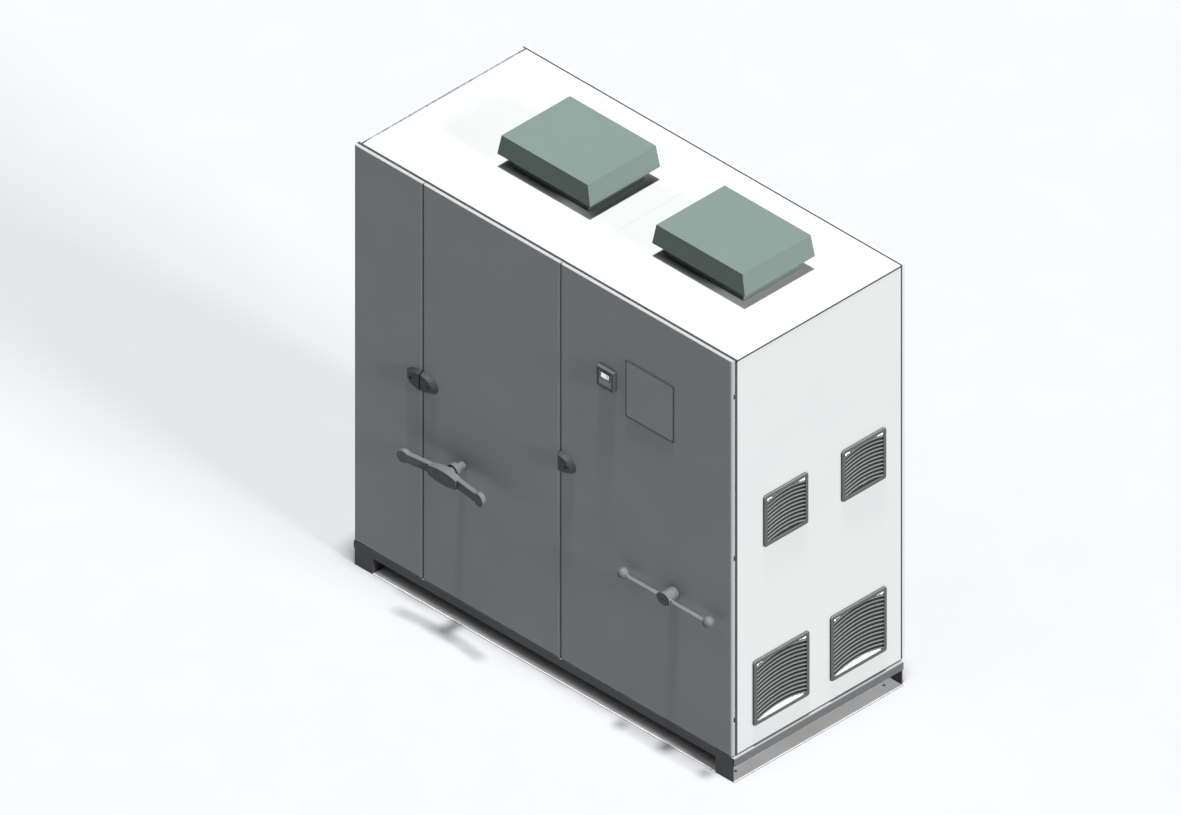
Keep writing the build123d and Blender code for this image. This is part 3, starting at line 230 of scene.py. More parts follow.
@dataclass(frozen=True)
class PowderCoat(Finish):
    """Polyester powder coat cured on folded sheet steel.

    To the eye it is satin with a faint orange peel. Where its dust share is over zero, its level
    faces are painted paler: partly pale dust, partly painted light.
    """

    shade: str = "#8F9190"
    # Pale colour of the dust on level faces; partly painted light
    dust: str = "#B2B2B0"
    dust_and_light_share: float = 0.0
    dust_and_light_above: float = 0.25
    dust_and_light_low_mm: float = 20.0
    dust_and_light_high_mm: float = 90.0
    peel_mm: float = 5.0
    peel_depth_mm: float = 0.05
    cloud_mm: float = 420.0

    def dress(self, tree: Tree, shader: Node, place: Socket) -> Socket:
        """Adds orange peel, drawn coarser than life so that it shows, and broad dust clouds."""
        peel = add_node(tree, "ShaderNodeTexNoise", {
            "Vector": place, "Scale": per_metre(self.peel_mm), "Detail": 2.0,
        })
        clouds = add_node(tree, "ShaderNodeTexNoise", {
            "Vector": place, "Scale": per_metre(self.cloud_mm), "Detail": 4.0, "Roughness": 0.6,
        })
        share = add_node(tree, "ShaderNodeMapRange", {
            "Value": clouds.outputs["Fac"], "From Min": 0.35, "From Max": 0.7,
            "To Min": 0.0, "To Max": 0.3,
        })
        satin = add_node(tree, "ShaderNodeMapRange", {
            "Value": clouds.outputs["Fac"], "From Min": 0.3, "From Max": 0.7,
            "To Min": self.roughness - 0.04, "To Max": self.roughness + 0.07,
        })
        tree.links.new(satin.outputs["Result"], shader.inputs["Roughness"])
        self.relief(tree, shader, peel.outputs["Fac"], self.peel_depth_mm)
        shaded = add_node(tree, "ShaderNodeMix", {
            SHARE: share.outputs["Result"], FIRST: linear(self.colour),
            SECOND: linear(self.shade),
        }, data_type="RGBA")
        return self.paint_dust_and_light(tree, place, clouds.outputs["Fac"], shaded.outputs[MIXED])

    def paint_dust_and_light(self, tree: Tree, place: Socket, clouds: Socket, colour: Socket) -> Socket:
        """Paints the faces that look up paler, most near the floor: partly dust, partly painted
        light.

        Args:
            tree: The material's node tree.
            place: Object coordinates in metres.
            clouds: The socket with the uneven share of the dust, from 0 to 1.
            colour: The colour without dust.

        Returns:
            The socket with the dusted colour.
        """
        if self.dust_and_light_share == 0:
            return colour
        # Painted light, partly dust: faces that look up get the pale colour
        looks = add_node(tree, "ShaderNodeTexCoord").outputs["Normal"]
        up = add_node(tree, "ShaderNodeSeparateXYZ", {"Vector": looks}).outputs["Z"]
        level = add_node(tree, "ShaderNodeMapRange", {
            "Value": up, "From Min": 0.5, "From Max": 0.9, "To Min": 0.0,
            "To Max": self.dust_and_light_share,
        })
        above = add_node(tree, "ShaderNodeSeparateXYZ", {"Vector": place}).outputs["Z"]
        settled = add_node(tree, "ShaderNodeMapRange", {
            "Value": above, "From Min": self.dust_and_light_low_mm * MM,
            "From Max": self.dust_and_light_high_mm * MM, "To Min": 1.0, "To Max": self.dust_and_light_above,
        })
        uneven = add_node(tree, "ShaderNodeMapRange", {
            "Value": clouds, "From Min": 0.3, "From Max": 0.6, "To Min": 0.8, "To Max": 1.0,
        })
        share = add_node(tree, "ShaderNodeMath", {
            0: level.outputs["Result"], 1: uneven.outputs["Result"],
        }, operation="MULTIPLY")
        thinned = add_node(tree, "ShaderNodeMath", {
            0: share.outputs["Value"], 1: settled.outputs["Result"],
        }, operation="MULTIPLY")
        dusty = add_node(tree, "ShaderNodeMix", {
            SHARE: thinned.outputs["Value"], FIRST: colour, SECOND: linear(self.dust),
        }, data_type="RGBA")
        return dusty.outputs[MIXED]


@dataclass(frozen=True)
class ZincSheet(Finish):
    """Hot-dip galvanised sheet: grey crystals of slightly different gloss."""

    pale: str = "#A7ACAF"
    spangle_mm: float = 14.0
    spangle_depth_mm: float = 0.02

    def dress(self, tree: Tree, shader: Node, place: Socket) -> Socket:
        """Adds zinc crystals that differ in grey and in gloss."""
        crystals = add_node(tree, "ShaderNodeTexVoronoi", {
            "Vector": place, "Scale": per_metre(self.spangle_mm),
        })
        grey = add_node(tree, "ShaderNodeRGBToBW", {"Color": crystals.outputs["Color"]})
        gloss = add_node(tree, "ShaderNodeMapRange", {
            "Value": grey.outputs["Val"], "To Min": self.roughness - 0.12,
            "To Max": self.roughness + 0.12,
        })
        tree.links.new(gloss.outputs["Result"], shader.inputs["Roughness"])
        self.relief(tree, shader, grey.outputs["Val"], self.spangle_depth_mm)
        spangled = add_node(tree, "ShaderNodeMix", {
            SHARE: grey.outputs["Val"], FIRST: linear(self.colour), SECOND: linear(self.pale),
        }, data_type="RGBA")
        return spangled.outputs[MIXED]


@dataclass(frozen=True)
class MouldedPlastic(Finish):
    """Moulded thermoplastic with a spark-eroded surface: an even, fine grain and soft edges."""

    worn: str = "#5A5C5E"
    grain_mm: float = 1.6
    grain_depth_mm: float = 0.04
    rub_mm: float = 45.0

    def dress(self, tree: Tree, shader: Node, place: Socket) -> Socket:
        """Adds the grain, drawn coarser than life so that it shows, and paler rubbed patches."""
        grain = add_node(tree, "ShaderNodeTexNoise", {
            "Vector": place, "Scale": per_metre(self.grain_mm), "Detail": 3.0,
        })
        rubbed = add_node(tree, "ShaderNodeTexNoise", {
            "Vector": place, "Scale": per_metre(self.rub_mm), "Detail": 5.0, "Roughness": 0.65,
        })
        share = add_node(tree, "ShaderNodeMapRange", {
            "Value": rubbed.outputs["Fac"], "From Min": 0.5, "From Max": 0.75,
            "To Min": 0.0, "To Max": 0.3,
        })
        self.relief(tree, shader, grain.outputs["Fac"], self.grain_depth_mm)
        worn = add_node(tree, "ShaderNodeMix", {
            SHARE: share.outputs["Result"], FIRST: linear(self.colour), SECOND: linear(self.worn),
        }, data_type="RGBA")
        return worn.outputs[MIXED]


@dataclass(frozen=True)
class SlattedPlastic(MouldedPlastic):
    """Moulded plastic slats in a darker frame, with painted shade and grime that darken deeper
    between them.
    """

    # Colour of the painted shade and grime deep between the slats
    shade_and_grime: str = "#101212"
    frame: str = "#343735"
    undarkened_mm: float = 6.5
    darkest_mm: float = 3.0
    slat_mm: float = 8.3
    frame_mm: float = 8.9

    def dress(self, tree: Tree, shader: Node, place: Socket) -> Socket:
        """Adds the frame's tone and the painted shade and grime, by the distance before the
        panel's face.
        """
        moulded = super().dress(tree, shader, place)
        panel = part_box("right_side_panel")[1].x
        across = add_node(tree, "ShaderNodeSeparateXYZ", {"Vector": place}).outputs["X"]
        # Painted shade with grime: darker the deeper between the slats
        share = add_node(tree, "ShaderNodeMapRange", {
            "Value": across, "From Min": panel + self.darkest_mm * MM,
            "From Max": panel + self.undarkened_mm * MM, "To Min": 0.9, "To Max": 0.0,
        })
        framed = add_node(tree, "ShaderNodeMapRange", {
            "Value": across, "From Min": panel + self.slat_mm * MM,
            "From Max": panel + self.frame_mm * MM,
        })
        toned = add_node(tree, "ShaderNodeMix", {
            SHARE: framed.outputs["Result"], FIRST: moulded, SECOND: linear(self.frame),
        }, data_type="RGBA")
        shaded_and_grimy = add_node(tree, "ShaderNodeMix", {
            SHARE: share.outputs["Result"], FIRST: toned.outputs[MIXED],
            SECOND: linear(self.shade_and_grime),
        }, data_type="RGBA")
        return shaded_and_grimy.outputs[MIXED]


@dataclass(frozen=True)
class DrawnSteel(Finish):
    """Bright steel, drawn or turned: fine lines run along it and stretch its highlights.

    The lines are drawn coarser than life so that they show.
    """

    run: Run = Run.X
    line: str = "#C9CBCC"
    line_mm: float = 0.8
    line_depth_mm: float = 0.02
    stretch: float = 0.03

    def dress(self, tree: Tree, shader: Node, place: Socket) -> Socket:
        """Adds lines that are long along the run and fine across it."""
        stretch = tuple(self.stretch if along else 1.0 for along in self.run.value)
        mapped = add_node(tree, "ShaderNodeMapping", {"Vector": place, "Scale": stretch})
        lines = add_node(tree, "ShaderNodeTexNoise", {
            "Vector": mapped.outputs["Vector"], "Scale": per_metre(self.line_mm), "Detail": 3.0,
        })
        gloss = add_node(tree, "ShaderNodeMapRange", {
            "Value": lines.outputs["Fac"], "To Min": self.roughness - 0.1,
            "To Max": self.roughness + 0.15,
        })
        tree.links.new(gloss.outputs["Result"], shader.inputs["Roughness"])
        self.relief(tree, shader, lines.outputs["Fac"], self.line_depth_mm)
        lined = add_node(tree, "ShaderNodeMix", {
            SHARE: lines.outputs["Fac"], FIRST: linear(self.colour), SECOND: linear(self.line),
        }, data_type="RGBA")
        return lined.outputs[MIXED]


@dataclass(frozen=True)
class RolledCopper(Finish):
    """Electrolytic copper bar: pink metal with rolling lines and browner, duller patches."""

    oxide: str = "#7A4630"
    line_mm: float = 1.2
    line_depth_mm: float = 0.02
    stretch: float = 0.04
    patch_mm: float = 60.0

    def dress(self, tree: Tree, shader: Node, place: Socket) -> Socket:
        """Adds rolling lines, drawn coarser than life so that they show, and patches of oxide."""
        mapped = add_node(tree, "ShaderNodeMapping", {
            "Vector": place, "Scale": (self.stretch, 1.0, 1.0),
        })
        lines = add_node(tree, "ShaderNodeTexNoise", {
            "Vector": mapped.outputs["Vector"], "Scale": per_metre(self.line_mm), "Detail": 3.0,
        })
        patches = add_node(tree, "ShaderNodeTexNoise", {
            "Vector": place, "Scale": per_metre(self.patch_mm), "Detail": 6.0, "Roughness": 0.7,
        })
        share = add_node(tree, "ShaderNodeMapRange", {
            "Value": patches.outputs["Fac"], "From Min": 0.42, "From Max": 0.68,
            "To Min": 0.0, "To Max": 0.7,
        })
        gloss = add_node(tree, "ShaderNodeMapRange", {
            "Value": patches.outputs["Fac"], "From Min": 0.4, "From Max": 0.7,
            "To Min": self.roughness, "To Max": self.roughness + 0.25,
        })
        tree.links.new(gloss.outputs["Result"], shader.inputs["Roughness"])
        self.relief(tree, shader, lines.outputs["Fac"], self.line_depth_mm)
        dulled = add_node(tree, "ShaderNodeMix", {
            SHARE: share.outputs["Result"], FIRST: linear(self.colour),
            SECOND: linear(self.oxide),
        }, data_type="RGBA")
        return dulled.outputs[MIXED]


@dataclass(frozen=True)
class NonwovenMat(Finish):
    """Polyester filter wool: matt white tangled fibres, greyer where it has caught dust."""

    caught: str = "#C4C3BE"
    fibre_mm: float = 2.4
    fibre_depth_mm: float = 0.9
    dust_mm: float = 70.0
    sheen: float = 0.3

    def dress(self, tree: Tree, shader: Node, place: Socket) -> Socket:
        """Adds tangled fibres, drawn coarser than life so that they show, and dust."""
        fibres = add_node(tree, "ShaderNodeTexNoise", {
            "Vector": place, "Scale": per_metre(self.fibre_mm), "Detail": 6.0,
            "Roughness": 0.75, "Distortion": 3.0,
        })
        dust = add_node(tree, "ShaderNodeTexNoise", {
            "Vector": place, "Scale": per_metre(self.dust_mm), "Detail": 3.0,
        })
        shader.inputs["Sheen Weight"].default_value = self.sheen
        self.relief(tree, shader, fibres.outputs["Fac"], self.fibre_depth_mm)
        dusty = add_node(tree, "ShaderNodeMix", {
            SHARE: dust.outputs["Fac"], FIRST: linear(self.colour), SECOND: linear(self.caught),
        }, data_type="RGBA")
        return dusty.outputs[MIXED]


@dataclass(frozen=True)
class FoamRubber(Finish):
    """Foamed or pressed rubber: matt and dark, with closed pores along its skin."""

    bloom: str = "#2A2B2C"
    pore_mm: float = 1.5
    pore_depth_mm: float = 0.15
    bloom_mm: float = 30.0

    def dress(self, tree: Tree, shader: Node, place: Socket) -> Socket:
        """Adds the pores, drawn coarser than life so that they show, and a faint grey bloom."""
        pores = add_node(tree, "ShaderNodeTexVoronoi", {
            "Vector": place, "Scale": per_metre(self.pore_mm),
        })
        bloom = add_node(tree, "ShaderNodeTexNoise", {
            "Vector": place, "Scale": per_metre(self.bloom_mm), "Detail": 4.0,
        })
        self.relief(tree, shader, pores.outputs["Distance"], self.pore_depth_mm)
        bloomed = add_node(tree, "ShaderNodeMix", {
            SHARE: bloom.outputs["Fac"], FIRST: linear(self.colour), SECOND: linear(self.bloom),
        }, data_type="RGBA")
        return bloomed.outputs[MIXED]


@dataclass(frozen=True)
class DisplayGlass(Finish):
    """Lit liquid crystal behind clear glass: a pale, bluish field with fine cell lines."""

    line: str = "#D5DBDC"
    cell_mm: float = 0.7
    glow_mm: float = 25.0
    light: float = 0.35
    cover: float = 0.6
    cover_roughness: float = 0.06

    def dress(self, tree: Tree, shader: Node, place: Socket) -> Socket:
        """Adds the cell lines, drawn coarser than life so that they show, under a clear coat."""
        mapped = add_node(tree, "ShaderNodeMapping", {"Vector": place, "Scale": (1.0, 0.0, 1.0)})
        cells = add_node(tree, "ShaderNodeTexChecker", {
            "Vector": mapped.outputs["Vector"],
            "Color1": linear(self.colour),
            "Color2": linear(self.line),
            "Scale": per_metre(self.cell_mm),
        })
        glow = add_node(tree, "ShaderNodeTexNoise", {
            "Vector": place, "Scale": per_metre(self.glow_mm),
        })
        shader.inputs["Coat Weight"].default_value = self.cover
        shader.inputs["Coat Roughness"].default_value = self.cover_roughness
        field = add_node(tree, "ShaderNodeMix", {
            SHARE: glow.outputs["Fac"], FIRST: cells.outputs["Color"],
            SECOND: linear(self.colour),
        }, data_type="RGBA")
        tree.links.new(field.outputs[MIXED], shader.inputs["Emission Color"])
        shader.inputs["Emission Strength"].default_value = self.light
        return field.outputs[MIXED]


# Folded panels of the body: even light grey, hardly shiny, with crisp folds
CABINET_COAT = PowderCoat("light_grey_powder_coat", "#8A8B8B", roughness=0.6, shade="#818383",
                          edge_mm=1.6, seam_shade_and_dirt=0.8, gloss=0.15)
# Doors: the same coat painted darker as painted shade for the front faces, with wide, soft folds
SHADED_DOOR_COAT = replace(CABINET_COAT, name="shaded_folded_door_powder_coat", colour="#747575",
                    shade="#6E7070", edge_mm=8.0)
# Blank cover plate: as the doors, with the same painted shade, and crisp edges
SHADED_COVER_COAT = replace(SHADED_DOOR_COAT, name="shaded_cover_plate_powder_coat", edge_mm=1.6)
# Side channels and feet of the plinth: near black, paler where they look up, with dust and
# painted light
PLINTH_COAT = PowderCoat("dark_grey_powder_coat", "#3D3E40", roughness=0.6, shade="#454646",
                         edge_mm=2.0, seam_shade_and_dirt=0.1, gloss=0.2, dust_and_light_share=0.95)
# Front and rear channels: the same, paler still where they look up: dust and painted light in
# their shaded recess
DUST_AND_LIGHT_CHANNEL_COAT = replace(PLINTH_COAT, name="dust_and_painted_light_channel_powder_coat", seam_shade_and_dirt=0.0, dust="#EDEDEA",
                       dust_and_light_share=1.0)
# Ventilator hoods: dull green grey
HOOD_COAT = PowderCoat("green_grey_powder_coat", "#47524E", roughness=0.6, shade="#404B46",
                       edge_mm=1.4, gloss=0.12)
# Frame and inner sheets: mottled bluish grey metal
ZINC = ZincSheet("galvanised_sheet", "#8A8F92", roughness=0.42, metallic=0.85, edge_mm=0.8)
# Rod, shafts and hat rails: bright metal with long streaks
STEEL_X = DrawnSteel("drawn_steel", "#A9ABAD", roughness=0.3, metallic=1.0, run=Run.X,
                     edge_mm=0.4)
# Bolts, pins and wires: bright metal, a little duller
STEEL_Z = DrawnSteel("turned_steel", "#A0A2A4", roughness=0.32, metallic=1.0, run=Run.Z,
                     edge_mm=0.4)
# Busbars: pink metal with brown patches
COPPER = RolledCopper("electrolytic_copper", "#B87355", roughness=0.28, metallic=1.0,
                      edge_mm=0.8)
# Switches, glands and fans: satin black
DARK_PLASTIC = MouldedPlastic("black_polyamide", "#232426", roughness=0.55, worn="#313335",
                              edge_mm=0.8)
# Terminals: warm light grey
LIGHT_PLASTIC = MouldedPlastic("light_grey_polyamide", "#B5B2A6", worn="#A8A598", edge_mm=0.5)
# Busbar insulators: dark brownish red
RED_PLASTIC = MouldedPlastic("red_brown_polyester", "#73231B", worn="#5E1D16", edge_mm=0.8)
# Louvres: mid grey slats, gaps blackened by painted shade and grime, in a darker frame
LOUVRE_PLASTIC = SlattedPlastic("grey_abs", "#5A5D5B", roughness=0.55, worn="#626563",
                                edge_mm=0.8, seam_shade_and_dirt=0.6, gloss=0.2)
# Lock covers: near black with soft edges
LOCK_PLASTIC = MouldedPlastic("dark_grey_polyamide", "#232425", worn="#2A2B2D", edge_mm=1.2,
                              gloss=0.25)
# Lock inserts: dark, dull metal with turned lines
LOCK_METAL = DrawnSteel("blackened_zinc_casting", "#37383A", roughness=0.45, metallic=1.0,
                        run=Run.Y, edge_mm=0.5, line="#4A4B4D")
# Handles: matt dark grey with rounded edges
HANDLE_PLASTIC = MouldedPlastic("glass_filled_polyamide", "#414243", roughness=0.6,
                                worn="#4A4B4C", edge_mm=2.0, seam_shade_and_dirt=0.2, gloss=0.15)
# Meter case: dark green grey
METER_PLASTIC = MouldedPlastic("grey_green_abs", "#353C39", roughness=0.55, worn="#3E4542",
                               edge_mm=0.8, seam_shade_and_dirt=0.1, gloss=0.2)
# Foil round the display: flat mid grey
METER_FACE = MouldedPlastic("grey_polycarbonate_foil", "#7C7E80", worn="#858789", edge_mm=0.3,
                            gloss=0.2)
# Digits: black strokes on the lit display
DIGIT_INK = MouldedPlastic("display_segment_dye", "#23282B", roughness=0.6, worn="#2C3235",
                           edge_mm=0.1)
# Meter keys: soft dark grey
KEY_RUBBER = FoamRubber("silicone_key_rubber", "#4C4F50", roughness=0.7, edge_mm=0.4,
                        pore_mm=0.9)
# Seals: dead black lines
SEAL_RUBBER = FoamRubber("foamed_seal_rubber", "#161718", roughness=0.85, edge_mm=0.5)
# Filter mats: loose white wool
FILTER_WOOL = NonwovenMat("polyester_filter_wool", "#E9E8E3", roughness=0.95, edge_mm=0.5,
                          seam_shade_and_dirt=0.2)
# Display: a pale field that glows a little
DISPLAY = DisplayGlass("lit_display_glass", "#E2E4EE", roughness=0.25, edge_mm=0.3, seam_shade_and_dirt=0.1)


class Piece:
    """One new piece: a mesh made by bmesh operators, in metres, in the cabinet's own frame."""

    def __init__(self, name: str, body: Body, slot: str, finish: Finish) -> None:
        """Starts an empty piece.

        Args:
            name: The piece's name.
            body: The body that it rides on.
            slot: The record's material slot; not used.
            finish: The finish that it gets.
        """
        self.name = name
        self.body = body
        self.slot = slot
        self.finish = finish
        self.mesh = bmesh.new()

    def block(self, low: Vector, high: Vector, edge: float = 0.0, segments: int = 1) -> None:
        """Adds a block, with its edges bevelled where edge is over zero.

        Args:
            low: Its lowest corner.
            high: Its highest corner.
            edge: The width of the bevel.
            segments: The number of steps in the bevel.
        """
        size = Matrix.Diagonal((*(high - low), 1.0))
        place = Matrix.Translation((low + high) / 2) @ size
        verts = bmesh.ops.create_cube(self.mesh, size=1.0, matrix=place)["verts"]
        if edge > 0:
            edges = list({link for vert in verts for link in vert.link_edges})
            bmesh.ops.bevel(self.mesh, geom=edges, offset=edge, segments=segments, profile=0.5,
                            affect="EDGES", material=-1)

    def round_bar(self, centre: Vector, run: Run, radius: float, length: float,
                  sides: int) -> None:
        """Adds a round, or many-sided, bar or head.

        Args:
            centre: The middle of the bar.
            run: The direction of its axis.
            radius: Its radius.
            length: Its length.
            sides: The number of sides.
        """
        place = Matrix.Translation(centre) @ run.turn
        bmesh.ops.create_cone(self.mesh, cap_ends=True, segments=sides, radius1=radius,
                              radius2=radius, depth=length, matrix=place)

    def band(self, low: Vector, high: Vector, width: float) -> None:
        """Adds an upright rectangular ring that lies against the inside of a box.

        Args:
            low: The box's lowest corner.
            high: Its highest corner.
            width: The width of the ring's bars, in the XZ plane.
        """
        size = Matrix.Diagonal((high.x - low.x, high.z - low.z, 1.0, 1.0))
        turn = Matrix.Rotation(math.pi / 2, 4, "X")
        centre = Vector(((low.x + high.x) / 2, low.y, (low.z + high.z) / 2))
        place = Matrix.Translation(centre) @ turn @ size
        grid = bmesh.ops.create_grid(self.mesh, x_segments=1, y_segments=1, size=0.5,
                                     matrix=place)["verts"]
        inner = grid[0].link_faces[:]
        bars = bmesh.ops.inset_region(self.mesh, faces=inner, thickness=width,
                                      use_boundary=True, use_even_offset=True)["faces"]
        bmesh.ops.delete(self.mesh, geom=inner, context="FACES_ONLY")
        lifted = bmesh.ops.extrude_face_region(self.mesh, geom=bars)["geom"]
        tops = [item for item in lifted if isinstance(item, bmesh.types.BMVert)]
        bmesh.ops.translate(self.mesh, verts=tops, vec=(0, high.y - low.y, 0))

    def ring(self, centre: Vector, radius: float, wire: float, steps: int = 40) -> None:
        """Adds a wire ring that lies flat, spun from a small circle.

        Args:
            centre: The middle of the ring.
            radius: The radius of the wire's centre line.
            wire: The radius of the wire.
            steps: The number of steps round the ring.
        """
        turn = Matrix.Rotation(math.pi / 2, 4, "X")
        place = Matrix.Translation(centre + Vector((radius, 0, 0))) @ turn
        circle = bmesh.ops.create_circle(self.mesh, segments=6, radius=wire, matrix=place)
        edges = list({link for vert in circle["verts"] for link in vert.link_edges})
        bmesh.ops.spin(self.mesh, geom=circle["verts"] + edges, cent=centre, axis=(0, 0, 1),
                       angle=2 * math.pi, steps=steps, use_merge=True, use_duplicate=False)

    def settle(self, smooth_angle: float = 35.0) -> bpy.types.Object:
        """Turns the mesh into a finished object that rides on its body.

        Args:
            smooth_angle: Edges that turn by less than this many degrees are shaded smooth.

        Returns:
            The finished object.
        """
        bmesh.ops.remove_doubles(self.mesh, verts=self.mesh.verts, dist=TOUCH)
        bmesh.ops.recalc_face_normals(self.mesh, faces=self.mesh.faces)
        data = bpy.data.meshes.new(self.name)
        self.mesh.to_mesh(data)
        self.mesh.free()
        data.shade_smooth()
        data.set_sharp_from_angle(angle=math.radians(smooth_angle))
        data.materials.append(self.finish.material())
        piece = bpy.data.objects.new(self.name, data)
        bpy.context.scene.collection.objects.link(piece)
        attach(piece, self.body.value)
        log.info("%s: %d faces on %s", self.name, len(data.polygons), self.body.value)
        return piece


def coat(finish: Finish, *nodes: str) -> None:
    """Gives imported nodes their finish.

    Args:
        finish: The finish.
        nodes: The nodes' names.
    """
    for name in nodes:
        data = frame["nodes"][name].data
        data.materials.clear()
        data.materials.append(finish.material())
        log.info("%s: %s", name, finish.name)


@dataclass
class Layout:
    """The cabinet's left and front planes, in metres, and its three bays."""

    left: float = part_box("plinth_side_rails")[0].x
    front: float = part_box("plinth_side_rails")[0].y
    bays_mm: tuple[tuple[int, int], ...] = ((12, 399), (401, 1199), (1201, 2188))

    def x(self, from_left_mm: float) -> float:
        """X of a point given in millimetres from the cabinet's left."""
        return self.left + from_left_mm * MM

    def y(self, from_front_mm: float) -> float:
        """Y of a point given in millimetres from the doors' front."""
        return self.front + from_front_mm * MM


@dataclass
class Plinth:
    """The channel plinth and the bolts that hold the section frames to it."""

    bolt_across: float = 19 * MM
    bolt_height: float = 7.5 * MM
    bolt_inset: float = 55 * MM
    bolt_places: tuple[float, float] = (0.16, 0.40)
    washer_radius: float = 12 * MM
    washer_sheet: float = 1.6 * MM
    flange_sheet: float = 4 * MM

    def build(self) -> None:
        """Dresses the channels and adds the frame bolts under their top flanges."""
        coat(PLINTH_COAT, "plinth_side_rails", "plinth_end_plates")
        # The front and rear channels get whiter dust that is partly painted light in their shaded
        # recess
        coat(DUST_AND_LIGHT_CHANNEL_COAT, "plinth_cross_rails")
        low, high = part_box("plinth_side_rails")
        under = high.z - self.flange_sheet
        washer_middle = under - self.washer_sheet / 2
        head_middle = under - self.washer_sheet - self.bolt_height / 2
        corner = self.bolt_across / FLATS_TO_CORNER
        outer, inner = self.bolt_places
        bolts = Piece("plinth_frame_bolts", Body.CABINET, "bright_steel", STEEL_Z)
        for x in (low.x + self.bolt_inset, high.x - self.bolt_inset):
            for y in (low.y + outer, low.y + inner, high.y - inner, high.y - outer):
                bolts.round_bar(Vector((x, y, washer_middle)), Run.Z, self.washer_radius,
                                self.washer_sheet, sides=20)
                bolts.round_bar(Vector((x, y, head_middle)), Run.Z, corner, self.bolt_height,
                                sides=HEXAGON)
        bolts.settle()


@dataclass
class Enclosure:
    """The frame, side panels, roof plates, rear panels and what is bolted to them."""

    seal_width: float = 8 * MM
    seal_rise: float = 0.8 * MM
    roof_sheet: float = 1.5 * MM

    def build(self) -> None:
        """Dresses the panels, the frame and the hinges and adds the seals between them."""
        coat(CABINET_COAT, "left_side_panel", "right_side_panel", "roof_panel", "rear_panels")
        coat(ZINC, "frame_posts", "frame_width_rails", "frame_depth_rails", "sealing_lips",
             "bay_sheets", "mounting_plates", "gland_plates")
        coat(STEEL_Z, "hinge_brackets", "hinge_pins")
        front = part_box("roof_panel")[0].y
        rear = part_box("rear_panels")[0].y
        self.edge_seal("door_opening_edge_seal", front, front + self.seal_width)
        self.edge_seal("rear_panel_seal", rear - self.seal_width / 2, rear + self.seal_width / 2)
        self.roof_seals(front, rear)

    def edge_seal(self, name: str, start: float, stop: float) -> None:
        """Adds the rubber that shows as a thin dark line round the cabinet's body.

        Args:
            name: The piece's name.
            start: Y where the rubber starts.
            stop: Y where it stops.
        """
        low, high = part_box("rear_panels")
        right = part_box("right_side_panel")[1].x
        rise = self.seal_rise
        seal = Piece(name, Body.CABINET, "seal_rubber", SEAL_RUBBER)
        seal.band(Vector((low.x - rise, start, low.z)),
                  Vector((right + rise, stop, high.z + rise)), 2 * rise)
        seal.settle()

    def roof_seals(self, start: float, stop: float) -> None:
        """Adds the rubber that shows as a thin dark line under each side edge of the roof.

        Args:
            start: Y where the rubber starts.
            stop: Y where it stops.
        """
        low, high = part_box("rear_panels")
        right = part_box("right_side_panel")[1].x
        top = high.z - self.roof_sheet
        seals = Piece("roof_side_seals", Body.CABINET, "seal_rubber", SEAL_RUBBER)
        for face in (low.x, right):
            seals.block(Vector((face - self.seal_rise, start, top - self.seal_width)),
                        Vector((face + self.seal_rise, stop, top)))
        seals.settle()


@dataclass
class Doors:
    """The three doors with their rubber seals and lock covers."""

    layout: Layout
    seal_width: float = 10 * MM
    seal_crown: float = 3 * MM
    cover_line: float = 3.5 * MM
    cover_seal_rise: float = 3.9 * MM

    def build(self) -> None:
        """Dresses the doors and replaces the plain seals with foamed ones."""
        for number, body in enumerate((Body.DOOR_1, Body.DOOR_2, Body.DOOR_3), start=1):
            # Painted shade: the doors' coat is darker than the body's, as the front faces are
            # shaded
            coat(SHADED_DOOR_COAT, f"door_{number}_shell")
            coat(LOCK_PLASTIC, f"door_{number}_escutcheon")
            coat(LOCK_METAL, f"lock_{number}")
            self.seal(number, body)
        coat(SHADED_COVER_COAT, "cover_plate")
        self.cover_seal()

    def seal(self, number: int, body: Body) -> None:
        """Adds one foamed seal: a rectangular ring with a crowned back.

        Args:
            number: The door's number.
            body: The door's body.
        """
        node = f"door_{number}_gasket"
        low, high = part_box(node)
        ring = Piece(f"door_{number}_foam_seal", body, "seal_rubber", SEAL_RUBBER)
        ring.band(low, high, self.seal_width)
        crown = [edge for edge in ring.mesh.edges
                 if all(abs(vert.co.y - high.y) < TOUCH for vert in edge.verts)
                 and self.is_straight(edge)]
        bmesh.ops.bevel(ring.mesh, geom=crown, offset=self.seal_crown, segments=3, profile=0.5,
                        affect="EDGES", material=-1)
        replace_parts(ring.settle(), node)

    @staticmethod
    def is_straight(edge: bmesh.types.BMEdge, digits: int = 5) -> bool:
        """Tells an edge along X or Z from a mitre, whose ends share neither coordinate.

        Args:
            edge: An edge in an XZ plane.
            digits: The decimals of a metre to which coordinates are compared.

        Returns:
            True for an edge along X or Z.
        """
        across = {round(vert.co.x, digits) for vert in edge.verts}
        up = {round(vert.co.z, digits) for vert in edge.verts}
        return len(across | up) == 3

    def cover_seal(self) -> None:
        """Adds the rubber that shows as a thin dark line round the blank cover plate."""
        low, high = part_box("cover_plate")
        reach = self.cover_line
        skin = self.layout.y(0)
        seal = Piece("cover_plate_seal", Body.DOOR_3, "seal_rubber", SEAL_RUBBER)
        seal.band(Vector((low.x - reach, skin - self.cover_seal_rise, low.z - reach)),
                  Vector((high.x + reach, skin, high.z + reach)), reach)
        seal.settle()


